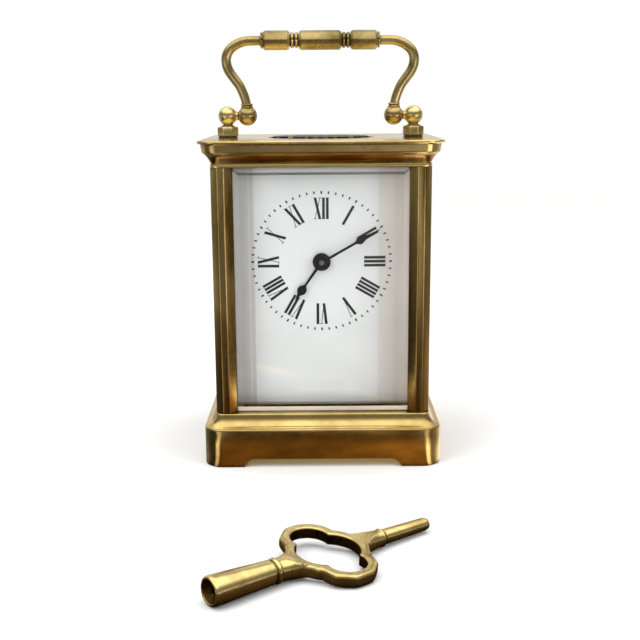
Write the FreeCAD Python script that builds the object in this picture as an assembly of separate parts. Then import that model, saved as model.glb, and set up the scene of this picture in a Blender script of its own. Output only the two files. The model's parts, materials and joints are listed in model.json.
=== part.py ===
"""Carriage clock in a glazed brass case, with its double-ended key.

Millimetres. +X is to the right of someone facing the dial, +Y runs from the dial to the rear door, +Z is up.
The origin is on the surface the clock stands on, under the centre of the case.
"""

import FreeCAD
import Part
import math
import os

V = FreeCAD.Vector
UP = V(0, 0, 1)
BACKWARD = V(0, 1, 0)
RIGHT = V(1, 0, 0)

# ---------------------------------------------------------------- driving dimensions
# case
HALF_X, HALF_Y = 41.0, 35.5  # base and cornice, half width and half depth
CANT = 4.0  # canted corners of base and cornice
BASE_FACE = 13.6  # height of the base's upright face
BASE_TOP = 18.0
CASE_X, CASE_Y = 36.9, 31.4  # outer faces of the four pillars
CORNICE_BOTTOM, CORNICE_TOP = 102.5, 111.3
BASE_WALL, BASE_DECK = 4.0, 5.0  # thickness of the base's walls and of its top
HOLLOW_CANT = 2.5  # cant of the hollow under the base
FOOT_INNER, ARCH_TOP, ARCH_INSET = 27.3, 2.8, 3.6  # bracket feet
SIDE_FOOT_INNER = FOOT_INNER - (HALF_X - HALF_Y)
CAVITY_X, CAVITY_Y, PLATE_THICK = 29.0, 24.5, 2.0  # hollow inside the cornice
# glass
GLASS = 2.2  # thickness of the case's bevelled glasses
GLASS_INSET = 2.0  # from a pillar's outer face to the glass
GLASS_LAP, SLOT = 1.4, 1.5  # how far a glass enters a pillar, and the base or cornice
BEVEL_WIDE, BEVEL_DEEP = 3.4, 1.0
OVAL_X, OVAL_Y, OVAL_LEDGE, OVAL_PROUD = 19.0, 15.5, 1.5, 0.4  # glass in the top
# pillars
PILLAR, PILLAR_CANT, PILLAR_FACE = 7.4, 2.4, 4.5
PILLAR_AXIS = 3.3  # fixing screw and spigot, in from both outer faces
SPIGOT_R, SPIGOT_LONG = 1.5, 3.0
CASE_SCREW_R, CASE_SCREW_HEAD_R, CASE_SCREW_HEAD, CASE_SCREW_LONG = 1.1, 1.8, 1.5, 10.5
# carrying handle
POST_X, KNUCKLE_X, PIVOT_Z = 33.0, 26.0, 118.9
POST_BALL_R, KNUCKLE_R, ROD_R = 3.2, 3.35, 1.7
POST_STUD_R, POST_STUD = 1.5, 4.5  # the stud that fixes a post in the cornice
PIVOT_R, PIVOT_HEAD_R, PIVOT_HEAD = 1.1, 1.9, 0.9
GRIP_Z, GRIP_R, GRIP_END = 144.8, 3.6, 21.0  # axis height, radius over the corners, half length
GRIP_SOCKET = 1.0  # how far an arm enters the grip
# rear door
DOOR_X, DOOR_THICK, DOOR_FRAME = 29.2, 3.0, 4.2
DOOR_GAP = 0.35
DOOR_GLASS, DOOR_LAP = 2.0, 1.2  # thickness of its glass, and how far that enters the rebate
DOOR_FRONT = CASE_Y - 4.0
HINGE_R, HINGE_PIN_R = 1.5, 0.8
HINGE_AT = (DOOR_X - HINGE_R, DOOR_FRONT + DOOR_THICK / 2)
KNOB_AT, KNOB_SHANK_R = (-DOOR_X + DOOR_FRAME / 2, 62.0), 0.8
# movement
FRONT_PLATE, BACK_PLATE, MOVEMENT_PLATE = -17.5, 15.0, 2.2  # the plates' front faces, and thickness
PLATE_X, PLATE_TOP = 27.0, 94.0
PLATE_PILLAR_X, PLATE_PILLAR_LOW, PLATE_PILLAR_HIGH = 23.0, 23.0, 89.0
RIVET_R, PLATE_SCREW_R, PLATE_SCREW_HEAD_R, PLATE_SCREW_HEAD, PLATE_SCREW_LONG = 1.4, 1.1, 2.3, 1.2, 7.0
INNER_FRONT = FRONT_PLATE + MOVEMENT_PLATE
BACK_REAR = BACK_PLATE + MOVEMENT_PLATE
RUN = 0.05  # radial running clearance of every pivot
FIT = 0.02  # radial clearance of parts that are fitted and don't move
END_SHAKE = 0.1
# dial and hands
DIAL_FRONT, DIAL_THICK, DIAL_X = -23.0, 1.0, 30.2
DIAL_LOW, DIAL_HIGH, DIAL_HOLE_R = 19.0, 101.6, 2.6
DIAL_FOOT_X, DIAL_FOOT_LOW, DIAL_FOOT_HIGH, DIAL_FOOT_R = 24.0, 31.0, 81.0, 0.8
HAND_PIPE, CANNON_PIPE, HOUR_BORE, HOUR_PIPE = 0.9, 1.65, 1.72, 2.3
HOUR_HAND_Y, MINUTE_HAND_Y, HAND_THICK = -24.3, -25.4, 0.4
MINUTE_POINTS, HOUR_POINTS = 60.4, 215.0  # degrees clockwise from twelve
# places of the arbors
CENTRE = (0.0, 70.0)  # X and Z of the hands' arbor
WIND = (-6.0, 38.5)  # X and Z of the winding arbor
CONTRATE = (-7.0, 82.0)
SET_SQUARE, WIND_SQUARE, SQUARE_END = 1.8, 3.2, 25.0
# arbors: radius of the body, radius of the pivots
THICK_ARBOR, THICK_PIVOT = 1.0, 0.9
INTER_ARBOR, INTER_PIVOT = 0.8, 0.5
THIN_ARBOR, THIN_PIVOT = 0.65, 0.4
SET_PIVOT, MINUTE_STUD_R = 1.3, 0.6
WIND_ARBOR, WIND_PIVOT, WIND_FRONT_PIVOT = 2.6, 2.3, 1.8
# gear train: teeth and modules
GREAT_T, CENTRE_WHEEL_T, INTER_T, THIRD_T, CONTRATE_T, ESCAPE_T = 84, 80, 66, 75, 70, 15
PINION_T, SMALL_PINION_T, ESCAPE_PINION_T = 12, 10, 7
GREAT_M, INTER_M, CENTRE_M, THIRD_M, CONTRATE_M = 0.42, 0.36, 0.30, 0.28, 0.25
CANNON_T, MINUTE_T, MINUTE_PINION_T, HOUR_T = 12, 36, 10, 40
MOTION_M = 0.35
MOTION_DISTANCE = (CANNON_T + MINUTE_T) * MOTION_M / 2
HOUR_M = 2 * MOTION_DISTANCE / (MINUTE_PINION_T + HOUR_T)
MINUTE_ANGLE = math.radians(20)  # direction of the minute wheel from the centre
# a tooth's addendum and dedendum in modules, and its widths at tip and root over the tooth pitch
WHEEL_TOOTH = {"add": 0.72, "ded": 0.95, "tip": 0.17, "root": 0.50}
PINION_TOOTH = {"add": 0.72, "ded": 0.95, "tip": 0.13, "root": 0.44}
# spans of wheels and pinions along Y, from front to rear
INTER_WHEEL = (-14.3, -13.3)
CENTRE_PINION = (-14.9, -12.7)
GREAT_WHEEL = (-11.6, -9.8)
INTER_PINION = (-12.2, -9.2)
CENTRE_WHEEL = (-8.0, -7.0)
THIRD_PINION = (-8.6, -6.4)
THIRD_WHEEL = (2.0, 2.9)
CONTRATE_PINION = (1.4, 3.5)
CONTRATE_RIM, CONTRATE_TIP = (-2.0, -0.4), -2.75
DRUM_REAR, DRUM_R, DRUM_WALL = 12.0, 15.5, 0.9
# click work on the back plate
RATCHET_Y, RATCHET_T, RATCHET_R, RATCHET_ROOT = (17.5, 18.7), 24, 6.5, 5.7
CLICK_REACH, CLICK_SCREW_R, CLICK_BOSS_R = 9.4, 0.8, 1.9
TIP_ANGLE = math.radians(45)  # where the click's beak enters the ratchet
CLICK_ANGLE = TIP_ANGLE + math.radians(50)
SPRING_FOOT = (8.5, 50.0)
# escapement platform, lying on the plates
DECK_LOW, DECK = 94.0, 95.6
DECK_X = 20.0
ESCAPE_AT = (-7.0, -3.5)  # X and Y of the escape arbor
BALANCE_AT = (2.5, 1.5)
ESCAPE_R, PALLET_DISTANCE = 3.75, 4.33
BALANCE_R = 7.0
DECK_SCREW_R, DECK_SCREW_HEAD_R, DECK_SCREW_HEAD, DECK_SCREW_LONG = 0.45, 1.0, 0.6, 2.8
ESCAPE_WHEEL_Z, LEVER_Z = (96.2, 96.6), (96.2, 96.7)
COCK_Z, BRIDGE_Z = (97.5, 98.3), (101.3, 102.3)
BALANCE_Z, SPRING_Z = (98.9, 99.7), (100.2, 100.6)
FINE_PIVOT, JEWEL_R, ESCAPE_ARBOR, STAFF_R = 0.2, 0.9, 0.45, 0.4
ESCAPE_FOOT, BALANCE_FOOT = (-4.5, -9.0), (8.4, 13.4)  # spans along the line escape wheel to balance
# key
KEY_FOOT, KEY_TURN, KEY_ROLL = V(-29.1, -136.0, 0.0), 37.8, 4.6  # turned from +X, and rolled onto one lobe
KEY_LONG, SOCKET_R, SOCKET_MOUTH_R, TUBE_R, TUBE_TIP_R = 74.8, 3.3, 4.1, 2.2, 1.9
SOCKET_END, TUBE_START = 19.0, 57.8  # where the two tubes meet the bow, from the key's foot
BOW_AT, BOW_THICK, BOW_RIM = 38.0, 3.6, 3.0
LOBE_AT, LOBE_R, SIDE_AT, SIDE_R = 8.2, 5.5, 0.9, 8.3  # circles of the bow's inner edge
NECK_END = 10.8  # where the necks end inside the rim, from the bow's middle
LARGE_RING_R, SMALL_RING_R, SMALL_RING_AT = 3.65, 2.75, 56.4  # the turned rings on the necks
LARGE_SPIGOT, SMALL_SPIGOT, SPIGOT_DEEP = 2.4, 1.4, 3.0  # how the tubes enter the bow


# ---------------------------------------------------------------- shape helpers
def box(x0, x1, y0, y1, z0, z1):
    return Part.makeBox(x1 - x0, y1 - y0, z1 - z0, V(x0, y0, z0))


def rod(radius, start, end):
    return Part.makeCylinder(radius, (end - start).Length, start, end - start)


def rod_y(radius, at, y0, y1):
    """A cylinder along Y at (x, z) = at."""
    return rod(radius, V(at[0], y0, at[1]), V(at[0], y1, at[1]))


def rod_z(radius, at, z0, z1):
    """A cylinder along Z at (x, y) = at."""
    return rod(radius, V(at[0], at[1], z0), V(at[0], at[1], z1))


def prism(points, along):
    """A closed outline of vectors, extruded."""
    return Part.Face(Part.makePolygon(points + [points[0]])).extrude(along)


def prism_y(outline, y0, y1):
    """An outline of (x, z) points, extruded from y0 to y1."""
    return prism([V(x, y0, z) for x, z in outline], V(0, y1 - y0, 0))


def prism_z(outline, z0, z1):
    """An outline of (x, y) points, extruded from z0 to z1."""
    return prism([V(x, y, z0) for x, y in outline], V(0, 0, z1 - z0))


def lathe(profile, base, axis):
    """A turned solid from (radius, distance along the axis) points, which start and end on the axis."""
    side = axis.cross(UP if abs(axis.z) < 0.5 else RIGHT)
    side.normalize()
    points = [base + axis * along + side * radius for radius, along in profile]
    return Part.Face(Part.makePolygon(points + [points[0]])).revolve(base, axis, 360)


def joined(shapes):
    return shapes[0].fuse(shapes[1:]).removeSplitter() if len(shapes) > 1 else shapes[0]


def polar(centre, radius, angle):
    return centre[0] + radius * math.cos(angle), centre[1] + radius * math.sin(angle)


def corners(x, y):
    return [(sx * x, sy * y) for sx in (-1, 1) for sy in (-1, 1)]


def moulding(half_x, half_y, cant, edges):
    """A canted rectangle whose edge has one section all round. edges(point) makes the section's edges from
    bottom to top, where point(inset, height) is a place on the section."""
    reach = half_x + half_y
    diagonal = (half_x + half_y - cant) / math.sqrt(2)
    sides = []
    for quarter, distance in ((0, half_x), (1, half_y), (2, half_x), (3, half_y)):
        sides.append((quarter * math.pi / 2, distance))
        sides.append(((quarter + 0.5) * math.pi / 2, diagonal))
    solid = None
    for angle, distance in sides:
        outward = V(math.cos(angle), math.sin(angle), 0)
        along = V(-outward.y, outward.x, 0)

        def point(inset, height):
            return outward * (distance - inset) + UP * height - along * reach

        section = edges(point)
        low = section[0].valueAt(section[0].FirstParameter)
        high = section[-1].valueAt(section[-1].LastParameter)
        inner_low, inner_high = point(2 * distance + 1, low.z), point(2 * distance + 1, high.z)
        closing = [(high, inner_high), (inner_high, inner_low), (inner_low, low)]
        section += [Part.LineSegment(a, b).toShape() for a, b in closing]
        slab = Part.Face(Part.Wire(Part.__sortEdges__(section))).extrude(along * 2 * reach)
        solid = slab if solid is None else solid.common(slab)
    return solid


def line(a, b):
    return Part.LineSegment(a, b).toShape()


def arc(a, middle, b):
    return Part.Arc(a, middle, b).toShape()


# ---------------------------------------------------------------- gears
def gear_outline(centre, teeth, module, phase, form):
    """Straight-sided teeth. The form's shares are tooth widths at tip and root over the tooth pitch."""
    pitch, radius = 2 * math.pi / teeth, teeth * module / 2
    tip_r, root_r = radius + form["add"] * module, radius - form["ded"] * module
    half_root, half_tip = form["root"], form["tip"]
    tooth_corners = [(root_r, -half_root), (tip_r, -half_tip), (tip_r, half_tip), (root_r, half_root)]
    return [
        polar(centre, r, phase + tooth * pitch + share * pitch / 2)
        for tooth in range(teeth)
        for r, share in tooth_corners
    ]


def meshed_phase(phase, teeth, direction, mate_teeth):
    """The angle of a tooth of the mate, which stands in the given direction, so that the two are in mesh."""
    pitch = 2 * math.pi / teeth
    lag = (direction - phase) % pitch
    return direction + math.pi + lag * teeth / mate_teeth + math.pi / mate_teeth


def meeting_point(a, radius_a, b, radius_b, side):
    """Where an arbor stands that is at radius_a from a and radius_b from b, to one side of the line a to b."""
    dx, dz = b[0] - a[0], b[1] - a[1]
    gap = math.hypot(dx, dz)
    along = (radius_a**2 - radius_b**2 + gap**2) / (2 * gap)
    across = side * math.sqrt(radius_a**2 - along**2)
    return (
        a[0] + (dx * along - dz * across) / gap,
        a[1] + (dz * along + dx * across) / gap,
    )


def direction_of(a, b):
    return math.atan2(b[1] - a[1], b[0] - a[0])


def crossings_y(centre, inner, outer, spokes, width, y0, y1):
    """The gaps between a wheel's spokes, as one cutter."""
    ring = rod_y(outer, centre, y0, y1).cut(rod_y(inner, centre, y0, y1))
    for spoke in range(spokes):
        angle = 360.0 * spoke / spokes + 30
        bar = box(0, outer + 1, y0, y1, -width / 2, width / 2)
        bar.rotate(V(0, 0, 0), BACKWARD, angle)
        bar.translate(V(centre[0], 0, centre[1]))
        ring = ring.cut(bar)
    return ring


INTER = meeting_point(
    WIND, (GREAT_T + PINION_T) * GREAT_M / 2, CENTRE, (INTER_T + PINION_T) * INTER_M / 2, -1
)
THIRD = meeting_point(
    CENTRE,
    (CENTRE_WHEEL_T + SMALL_PINION_T) * CENTRE_M / 2,
    CONTRATE,
    (THIRD_T + SMALL_PINION_T) * THIRD_M / 2,
    1,
)
MINUTE = polar(CENTRE, MOTION_DISTANCE, MINUTE_ANGLE)
CLICK_AT = polar(WIND, CLICK_REACH, CLICK_ANGLE)
TOWARDS_BALANCE = direction_of(ESCAPE_AT, BALANCE_AT)
PALLET_AT = polar(ESCAPE_AT, PALLET_DISTANCE, TOWARDS_BALANCE)


# ---------------------------------------------------------------- case
def base_section(point):
    """Upright face, narrow fillet, hollow moulding and a square step under the case."""
    hollow = 3.1
    return [
        line(point(0, 0), point(0, BASE_FACE - 0.4)),
        arc(point(0, BASE_FACE - 0.4), point(0.12, BASE_FACE - 0.12), point(0.4, BASE_FACE)),
        line(point(0.4, BASE_FACE), point(0.8, BASE_FACE)),
        arc(
            point(0.8, BASE_FACE),
            point(0.8 + 0.56 * hollow, BASE_FACE + 0.35 + 0.3 * hollow),
            point(0.8 + hollow, BASE_FACE + 0.35 + hollow),
        ),
        line(point(0.8 + hollow, BASE_FACE + 0.35 + hollow), point(0.8 + hollow, BASE_TOP)),
    ]


def arch_outline(inner, top, inset):
    """Half of the cut between two bracket feet, as (distance from the middle, height) points."""
    return [(inner + 0.6, -1), (inner, 0), (inner - 0.5 * inset, 0.75 * top), (inner - inset, top)]


def case_slots(low, high):
    """Where the front and side glasses enter the base or the cornice."""
    reach_x, reach_y = CASE_X - PILLAR + GLASS_LAP, CASE_Y - PILLAR + GLASS_LAP
    front = box(-reach_x, reach_x, -CASE_Y + GLASS_INSET, -CASE_Y + GLASS_INSET + GLASS, low, high)
    slots = [front]
    for side in (-1, 1):
        edges = sorted([side * (CASE_X - GLASS_INSET), side * (CASE_X - GLASS_INSET - GLASS)])
        slots.append(box(edges[0], edges[1], -reach_y, reach_y, low, high))
    return slots


def pillar_axes():
    return corners(CASE_X - PILLAR_AXIS, CASE_Y - PILLAR_AXIS)


def case_screw_places():
    return pillar_axes() + [(-PLATE_PILLAR_X, 0), (PLATE_PILLAR_X, 0)]


def base_moulding():
    base = moulding(HALF_X, HALF_Y, CANT, base_section)
    inner_x, inner_y = HALF_X - BASE_WALL, HALF_Y - BASE_WALL
    hollow_top = BASE_TOP - BASE_DECK

    def wall(point):
        return [line(point(0, -1), point(0, hollow_top))]

    base = base.cut(moulding(inner_x, inner_y, HOLLOW_CANT, wall))
    half = arch_outline(FOOT_INNER, ARCH_TOP, ARCH_INSET)
    arch = half + [(-x, z) for x, z in reversed(half)]
    base = base.cut(prism_y(arch, -HALF_Y - 1, HALF_Y + 1))
    half = arch_outline(SIDE_FOOT_INNER, ARCH_TOP, ARCH_INSET)
    arch = half + [(-y, z) for y, z in reversed(half)]
    base = base.cut(prism([V(-HALF_X - 1, y, z) for y, z in arch], V(2 * HALF_X + 2, 0, 0)))
    cutters = case_slots(BASE_TOP - SLOT, BASE_TOP + 1)
    cutters += [rod_z(CASE_SCREW_R, at, 0, BASE_TOP + 1) for at in case_screw_places()]
    cutters.append(rod_z(HINGE_PIN_R + RUN, HINGE_AT, BASE_TOP - 2, BASE_TOP + 1))
    return base.cut(cutters)


def cornice_section(point):
    """Fillet against the pillars, hollow moulding, band, and the projecting edge of the top plate."""
    low, high = CORNICE_BOTTOM, CORNICE_TOP
    return [
        line(point(4.0, low), point(4.0, low + 1.0)),
        line(point(4.0, low + 1.0), point(4.2, low + 1.2)),
        arc(point(4.2, low + 1.2), point(3.4, low + 3.4), point(1.9, low + 4.7)),
        line(point(1.9, low + 4.7), point(1.5, low + 4.9)),
        line(point(1.5, low + 4.9), point(0.7, low + 7.7)),
        line(point(0.7, low + 7.7), point(0.3, low + 7.9)),
        line(point(0.3, low + 7.9), point(0, low + 8.2)),
        arc(point(0, low + 8.2), point(0.12, high - 0.12), point(0.5, high)),
    ]


def oval(rx, ry, low, high):
    ellipse = Part.Ellipse(V(0, 0, low), rx, ry).toShape()
    return Part.Face(Part.Wire([ellipse])).extrude(UP * (high - low))


def cornice():
    top = moulding(HALF_X, HALF_Y, CANT, cornice_section)
    top = top.cut(box(-CAVITY_X, CAVITY_X, -CAVITY_Y, CAVITY_Y, 0, CORNICE_TOP - PLATE_THICK))
    rebate_low = CORNICE_TOP + OVAL_PROUD - GLASS
    cutters = [oval(OVAL_X, OVAL_Y, rebate_low, CORNICE_TOP + 1)]
    cutters.append(oval(OVAL_X - OVAL_LEDGE, OVAL_Y - OVAL_LEDGE, CORNICE_BOTTOM, CORNICE_TOP + 1))
    cutters += case_slots(CORNICE_BOTTOM - 1, CORNICE_BOTTOM + SLOT)
    cutters += [rod_z(SPIGOT_R, at, 0, CORNICE_BOTTOM + SPIGOT_LONG) for at in pillar_axes()]
    cutters += [rod_z(POST_STUD_R, (x, 0), CORNICE_TOP - POST_STUD, CORNICE_TOP + 1) for x in (-POST_X, POST_X)]
    cutters.append(rod_z(HINGE_PIN_R + RUN, HINGE_AT, 0, CORNICE_BOTTOM + 2))
    return top.cut(cutters)


def pillar(side_x, side_y):
    """A canted square post with an arris and a sloping face beside each glass, which enters a groove in it.
    A rear pillar has no groove for a rear glass: the door closes against it."""
    inner, lap, near = PILLAR, PILLAR - GLASS_LAP, GLASS_INSET
    far = GLASS_INSET + GLASS
    front_half = [(PILLAR_CANT, 0), (PILLAR_FACE, 0), (PILLAR_FACE + 0.15, 0.2), (inner, near)]
    grooved = [(lap, near), (lap, far)]
    side_half = [(q, p) for p, q in reversed(front_half + grooved + [(inner, far)])]
    outline = front_half + (grooved if side_y < 0 else []) + [(inner, far)] + side_half
    place = [(side_x * (CASE_X - p), side_y * (CASE_Y - q)) for p, q in outline]
    post = prism_z(place, BASE_TOP, CORNICE_BOTTOM)
    axis = (side_x * (CASE_X - PILLAR_AXIS), side_y * (CASE_Y - PILLAR_AXIS))
    post = post.fuse(rod_z(SPIGOT_R, axis, CORNICE_BOTTOM, CORNICE_BOTTOM + SPIGOT_LONG))
    screw_end = BASE_TOP - BASE_DECK + CASE_SCREW_LONG
    return post.cut(rod_z(CASE_SCREW_R, axis, BASE_TOP - 1, screw_end)).removeSplitter()


def slotted(screw, centre, across, along, depth, width=0.4):
    """A screw with a driver's slot across its head. across and along are directions, along points out."""
    reach = 4.0
    third = along.cross(across)
    start = centre - across * reach - third * width / 2 - along * depth
    slot = prism(
        [start, start + across * 2 * reach, start + across * 2 * reach + third * width, start + third * width],
        along * (depth + 1),
    )
    return screw.cut(slot)


def base_screws():
    """Six screws from below: one into each case pillar and two that hold the movement."""
    seat = BASE_TOP - BASE_DECK
    screws = []
    for x, y in case_screw_places():
        head = rod_z(CASE_SCREW_HEAD_R, (x, y), seat - CASE_SCREW_HEAD, seat)
        screw = head.fuse(rod_z(CASE_SCREW_R, (x, y), seat, seat + CASE_SCREW_LONG)).removeSplitter()
        screws.append(slotted(screw, V(x, y, seat - CASE_SCREW_HEAD), RIGHT, -UP, 0.7, 0.6))
    return Part.makeCompound(screws)


def bevelled_glass(wide, low, high, bevel_wide=BEVEL_WIDE, bevel_deep=BEVEL_DEEP, thick=GLASS):
    """A pane with its outer face bevelled all round. It is made facing -Y, with that face at y = 0."""
    pane = box(-wide, wide, 0, thick, low, high)
    outer = Part.makePolygon([V(x, bevel_deep, z) for x, z in rectangle(wide, low, high, 0)])
    inner = Part.makePolygon([V(x, 0, z) for x, z in rectangle(wide, low, high, bevel_wide)])
    frustum = Part.makeLoft([outer, inner], True, True)
    return pane.common(frustum.fuse(box(-wide, wide, bevel_deep, thick, low, high))).removeSplitter()


def rectangle(wide, low, high, inset):
    x, z0, z1 = wide - inset, low + inset, high - inset
    return [(-x, z0), (x, z0), (x, z1), (-x, z1), (-x, z0)]


def front_glass():
    pane = bevelled_glass(CASE_X - PILLAR + GLASS_LAP, BASE_TOP - SLOT, CORNICE_BOTTOM + SLOT)
    pane.translate(V(0, -CASE_Y + GLASS_INSET, 0))
    return pane


def side_glass(side):
    pane = bevelled_glass(CASE_Y - PILLAR + GLASS_LAP, BASE_TOP - SLOT, CORNICE_BOTTOM + SLOT)
    pane.rotate(V(0, 0, 0), UP, 90 * side)
    pane.translate(V(side * (CASE_X - GLASS_INSET), 0, 0))
    return pane


def top_glass():
    """An oval lens with a bevelled rim, let into the top plate."""
    low, high = CORNICE_TOP + OVAL_PROUD - GLASS, CORNICE_TOP + OVAL_PROUD
    rim_high, bevel = CORNICE_TOP - 0.4, 2.6
    rim = oval(OVAL_X - RUN, OVAL_Y - RUN, low, rim_high)
    wires = []
    for shrink, z in ((RUN, rim_high), (bevel, high)):
        wires.append(Part.Wire([Part.Ellipse(V(0, 0, z), OVAL_X - shrink, OVAL_Y - shrink).toShape()]))
    return rim.fuse(Part.makeLoft(wires, True, True)).removeSplitter()


# ---------------------------------------------------------------- carrying handle
def handle_post(side):
    """An eight-sided foot, a ringed neck and a ball, screwed into the cornice."""
    at = V(side * POST_X, 0, CORNICE_TOP)
    foot_high = 3.85
    flats = [polar((side * POST_X, 0), 3.75, math.radians(22.5 + 45 * n)) for n in range(8)]
    foot = prism_z(flats, CORNICE_TOP, CORNICE_TOP + foot_high)
    rise = PIVOT_Z - CORNICE_TOP
    neck = lathe(
        [
            (0, foot_high), (2.5, foot_high), (2.5, foot_high + 0.25), (1.75, foot_high + 0.45),
            (1.75, foot_high + 0.75), (2.15, foot_high + 0.95), (2.15, foot_high + 1.25),
            (1.7, foot_high + 1.5), (1.7, rise), (0, rise),
        ],
        at,
        UP,
    )
    ball = Part.makeSphere(POST_BALL_R, V(side * POST_X, 0, PIVOT_Z))
    boss_end = KNUCKLE_X + KNUCKLE_R - 0.15
    boss = rod(1.7, V(side * POST_X, 0, PIVOT_Z), V(side * boss_end, 0, PIVOT_Z))
    boss = boss.cut(Part.makeSphere(KNUCKLE_R + 0.1, V(side * KNUCKLE_X, 0, PIVOT_Z)))
    stud = rod(POST_STUD_R, at - UP * POST_STUD, at)
    post = joined([foot, neck, ball, boss, stud])
    return post.cut(rod(PIVOT_R, V(side * KNUCKLE_X, 0, PIVOT_Z), V(side * (POST_X + 1), 0, PIVOT_Z)))


def handle_pivot_screws():
    """Two shoulder screws, which pass through the handle's knuckles into the posts."""
    screws = []
    head_face = KNUCKLE_X - KNUCKLE_R + 0.3
    for side in (-1, 1):
        start = V(side * head_face, 0, PIVOT_Z)
        head = rod(PIVOT_HEAD_R - 0.1, start, start + V(side * PIVOT_HEAD, 0, 0))
        shank = rod(PIVOT_R, start, V(side * (POST_X + 1), 0, PIVOT_Z))
        screws.append(slotted(head.fuse(shank).removeSplitter(), start, UP, RIGHT * -side, 0.4))
    return Part.makeCompound(screws)


def handle_arm(side):
    """A knuckle ball, a ringed collar and a round S-shaped arm that ends in the grip."""

    def at(out, high):
        return V(side * out, 0, high)

    foot_z, lean = PIVOT_Z + 2.9, math.radians(33.6)
    low_r, mid_r, high_r, upper_turn = 10.0, 8.0, 5.6, math.radians(50)
    foot_x, bulge_x, bulge_z = KNUCKLE_X + 0.1, 33.25, 138.0

    def low_bend(angle):
        return at(foot_x + low_r * (1 - math.cos(angle)), foot_z + low_r * math.sin(angle))

    def mid_bend(angle):
        return at(bulge_x - mid_r * (1 - math.cos(angle)), bulge_z - mid_r * math.sin(angle))

    def high_bend(angle):
        return at(bulge_x - high_r * (1 - math.cos(angle)), bulge_z + high_r * math.sin(angle))

    turn_x = bulge_x - high_r * (1 - math.cos(upper_turn))
    turn_z = bulge_z + high_r * math.sin(upper_turn)
    top_r = (GRIP_Z - turn_z) / (1 - math.sin(upper_turn))

    def top_bend(angle):
        return at(
            turn_x - top_r * (math.cos(upper_turn) - math.cos(angle)),
            turn_z + top_r * (math.sin(angle) - math.sin(upper_turn)),
        )

    quarter = math.pi / 2
    path = Part.Wire(
        [
            arc(low_bend(0), low_bend(lean / 2), low_bend(lean)),
            line(low_bend(lean), mid_bend(lean)),
            arc(mid_bend(lean), mid_bend(lean / 2), mid_bend(0)),
            arc(high_bend(0), high_bend(upper_turn / 2), high_bend(upper_turn)),
            arc(top_bend(upper_turn), top_bend((upper_turn + quarter) / 2), top_bend(quarter)),
            line(top_bend(quarter), at(GRIP_END - GRIP_SOCKET, GRIP_Z)),
        ]
    )
    circle = Part.Wire([Part.Circle(low_bend(0), UP, ROD_R).toShape()])
    arm = path.makePipeShell([circle], True, False)
    knuckle = Part.makeSphere(KNUCKLE_R, at(KNUCKLE_X, PIVOT_Z))
    collar_low = 2.7
    collar = lathe(
        [
            (0, collar_low), (2.0, collar_low), (2.0, collar_low + 0.4), (1.8, collar_low + 0.6),
            (2.15, collar_low + 0.8), (2.15, collar_low + 1.2), (1.7, collar_low + 1.5), (0, collar_low + 1.5),
        ],
        at(foot_x, PIVOT_Z),
        UP,
    )
    arm = joined([arm, knuckle, collar])
    bore = rod(PIVOT_R + RUN, at(KNUCKLE_X - KNUCKLE_R - 1, PIVOT_Z), at(POST_X, PIVOT_Z))
    recess_end = KNUCKLE_X - KNUCKLE_R + 0.3 + PIVOT_HEAD + RUN
    recess = rod(PIVOT_HEAD_R, at(KNUCKLE_X - KNUCKLE_R - 1, PIVOT_Z), at(recess_end, PIVOT_Z))
    return arm.cut([bore, recess])


def handle_grip():
    """An eight-sided bar in three lengths, with two turned beads in each gap and tapered collars at the ends."""
    side_end, side_start, middle = 19.7, 10.5, 6.9
    collar_long = GRIP_END - side_end
    chamfer = 0.8
    parts = []
    for start, end in ((-side_end, -side_start), (-middle, middle), (side_start, side_end)):
        facets = []
        for n in range(8):
            y, z = polar((0, GRIP_Z), GRIP_R, n * math.pi / 4)
            facets.append(V(start, y, z))
        bar = prism(facets, RIGHT * (end - start))
        turned = lathe(
            [(0, 0), (GRIP_R - chamfer, 0), (GRIP_R, chamfer), (GRIP_R, end - start - chamfer),
             (GRIP_R - chamfer, end - start), (0, end - start)],
            V(start, 0, GRIP_Z),
            RIGHT,
        )
        parts.append(bar.common(turned))
    gap = side_start - middle
    bead = gap / 3.0
    for side in (-1, 1):
        base = V(side * (middle - 0.1), 0, GRIP_Z)
        profile = [(0, 0), (2.1, 0)]
        for n in range(2):
            low = 0.25 + n * (bead + 0.75)
            profile += [(2.1, low), (2.9, low + 0.35), (2.9, low + bead - 0.35), (2.1, low + bead)]
        profile += [(2.1, gap + 0.2), (0, gap + 0.2)]
        parts.append(lathe(profile, base, RIGHT * side))
        cone = lathe(
            [(0, 0), (2.75, 0), (2.45, collar_long - 0.5), (2.45, collar_long), (0, collar_long)],
            V(side * side_end, 0, GRIP_Z),
            RIGHT * side,
        )
        parts.append(cone)
    grip = joined(parts)
    sockets = []
    for side in (-1, 1):
        inner, outer = side * (GRIP_END - GRIP_SOCKET - FIT), side * (GRIP_END + 1)
        sockets.append(rod(ROD_R + FIT, V(inner, 0, GRIP_Z), V(outer, 0, GRIP_Z)))
    return grip.cut(sockets)


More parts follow.
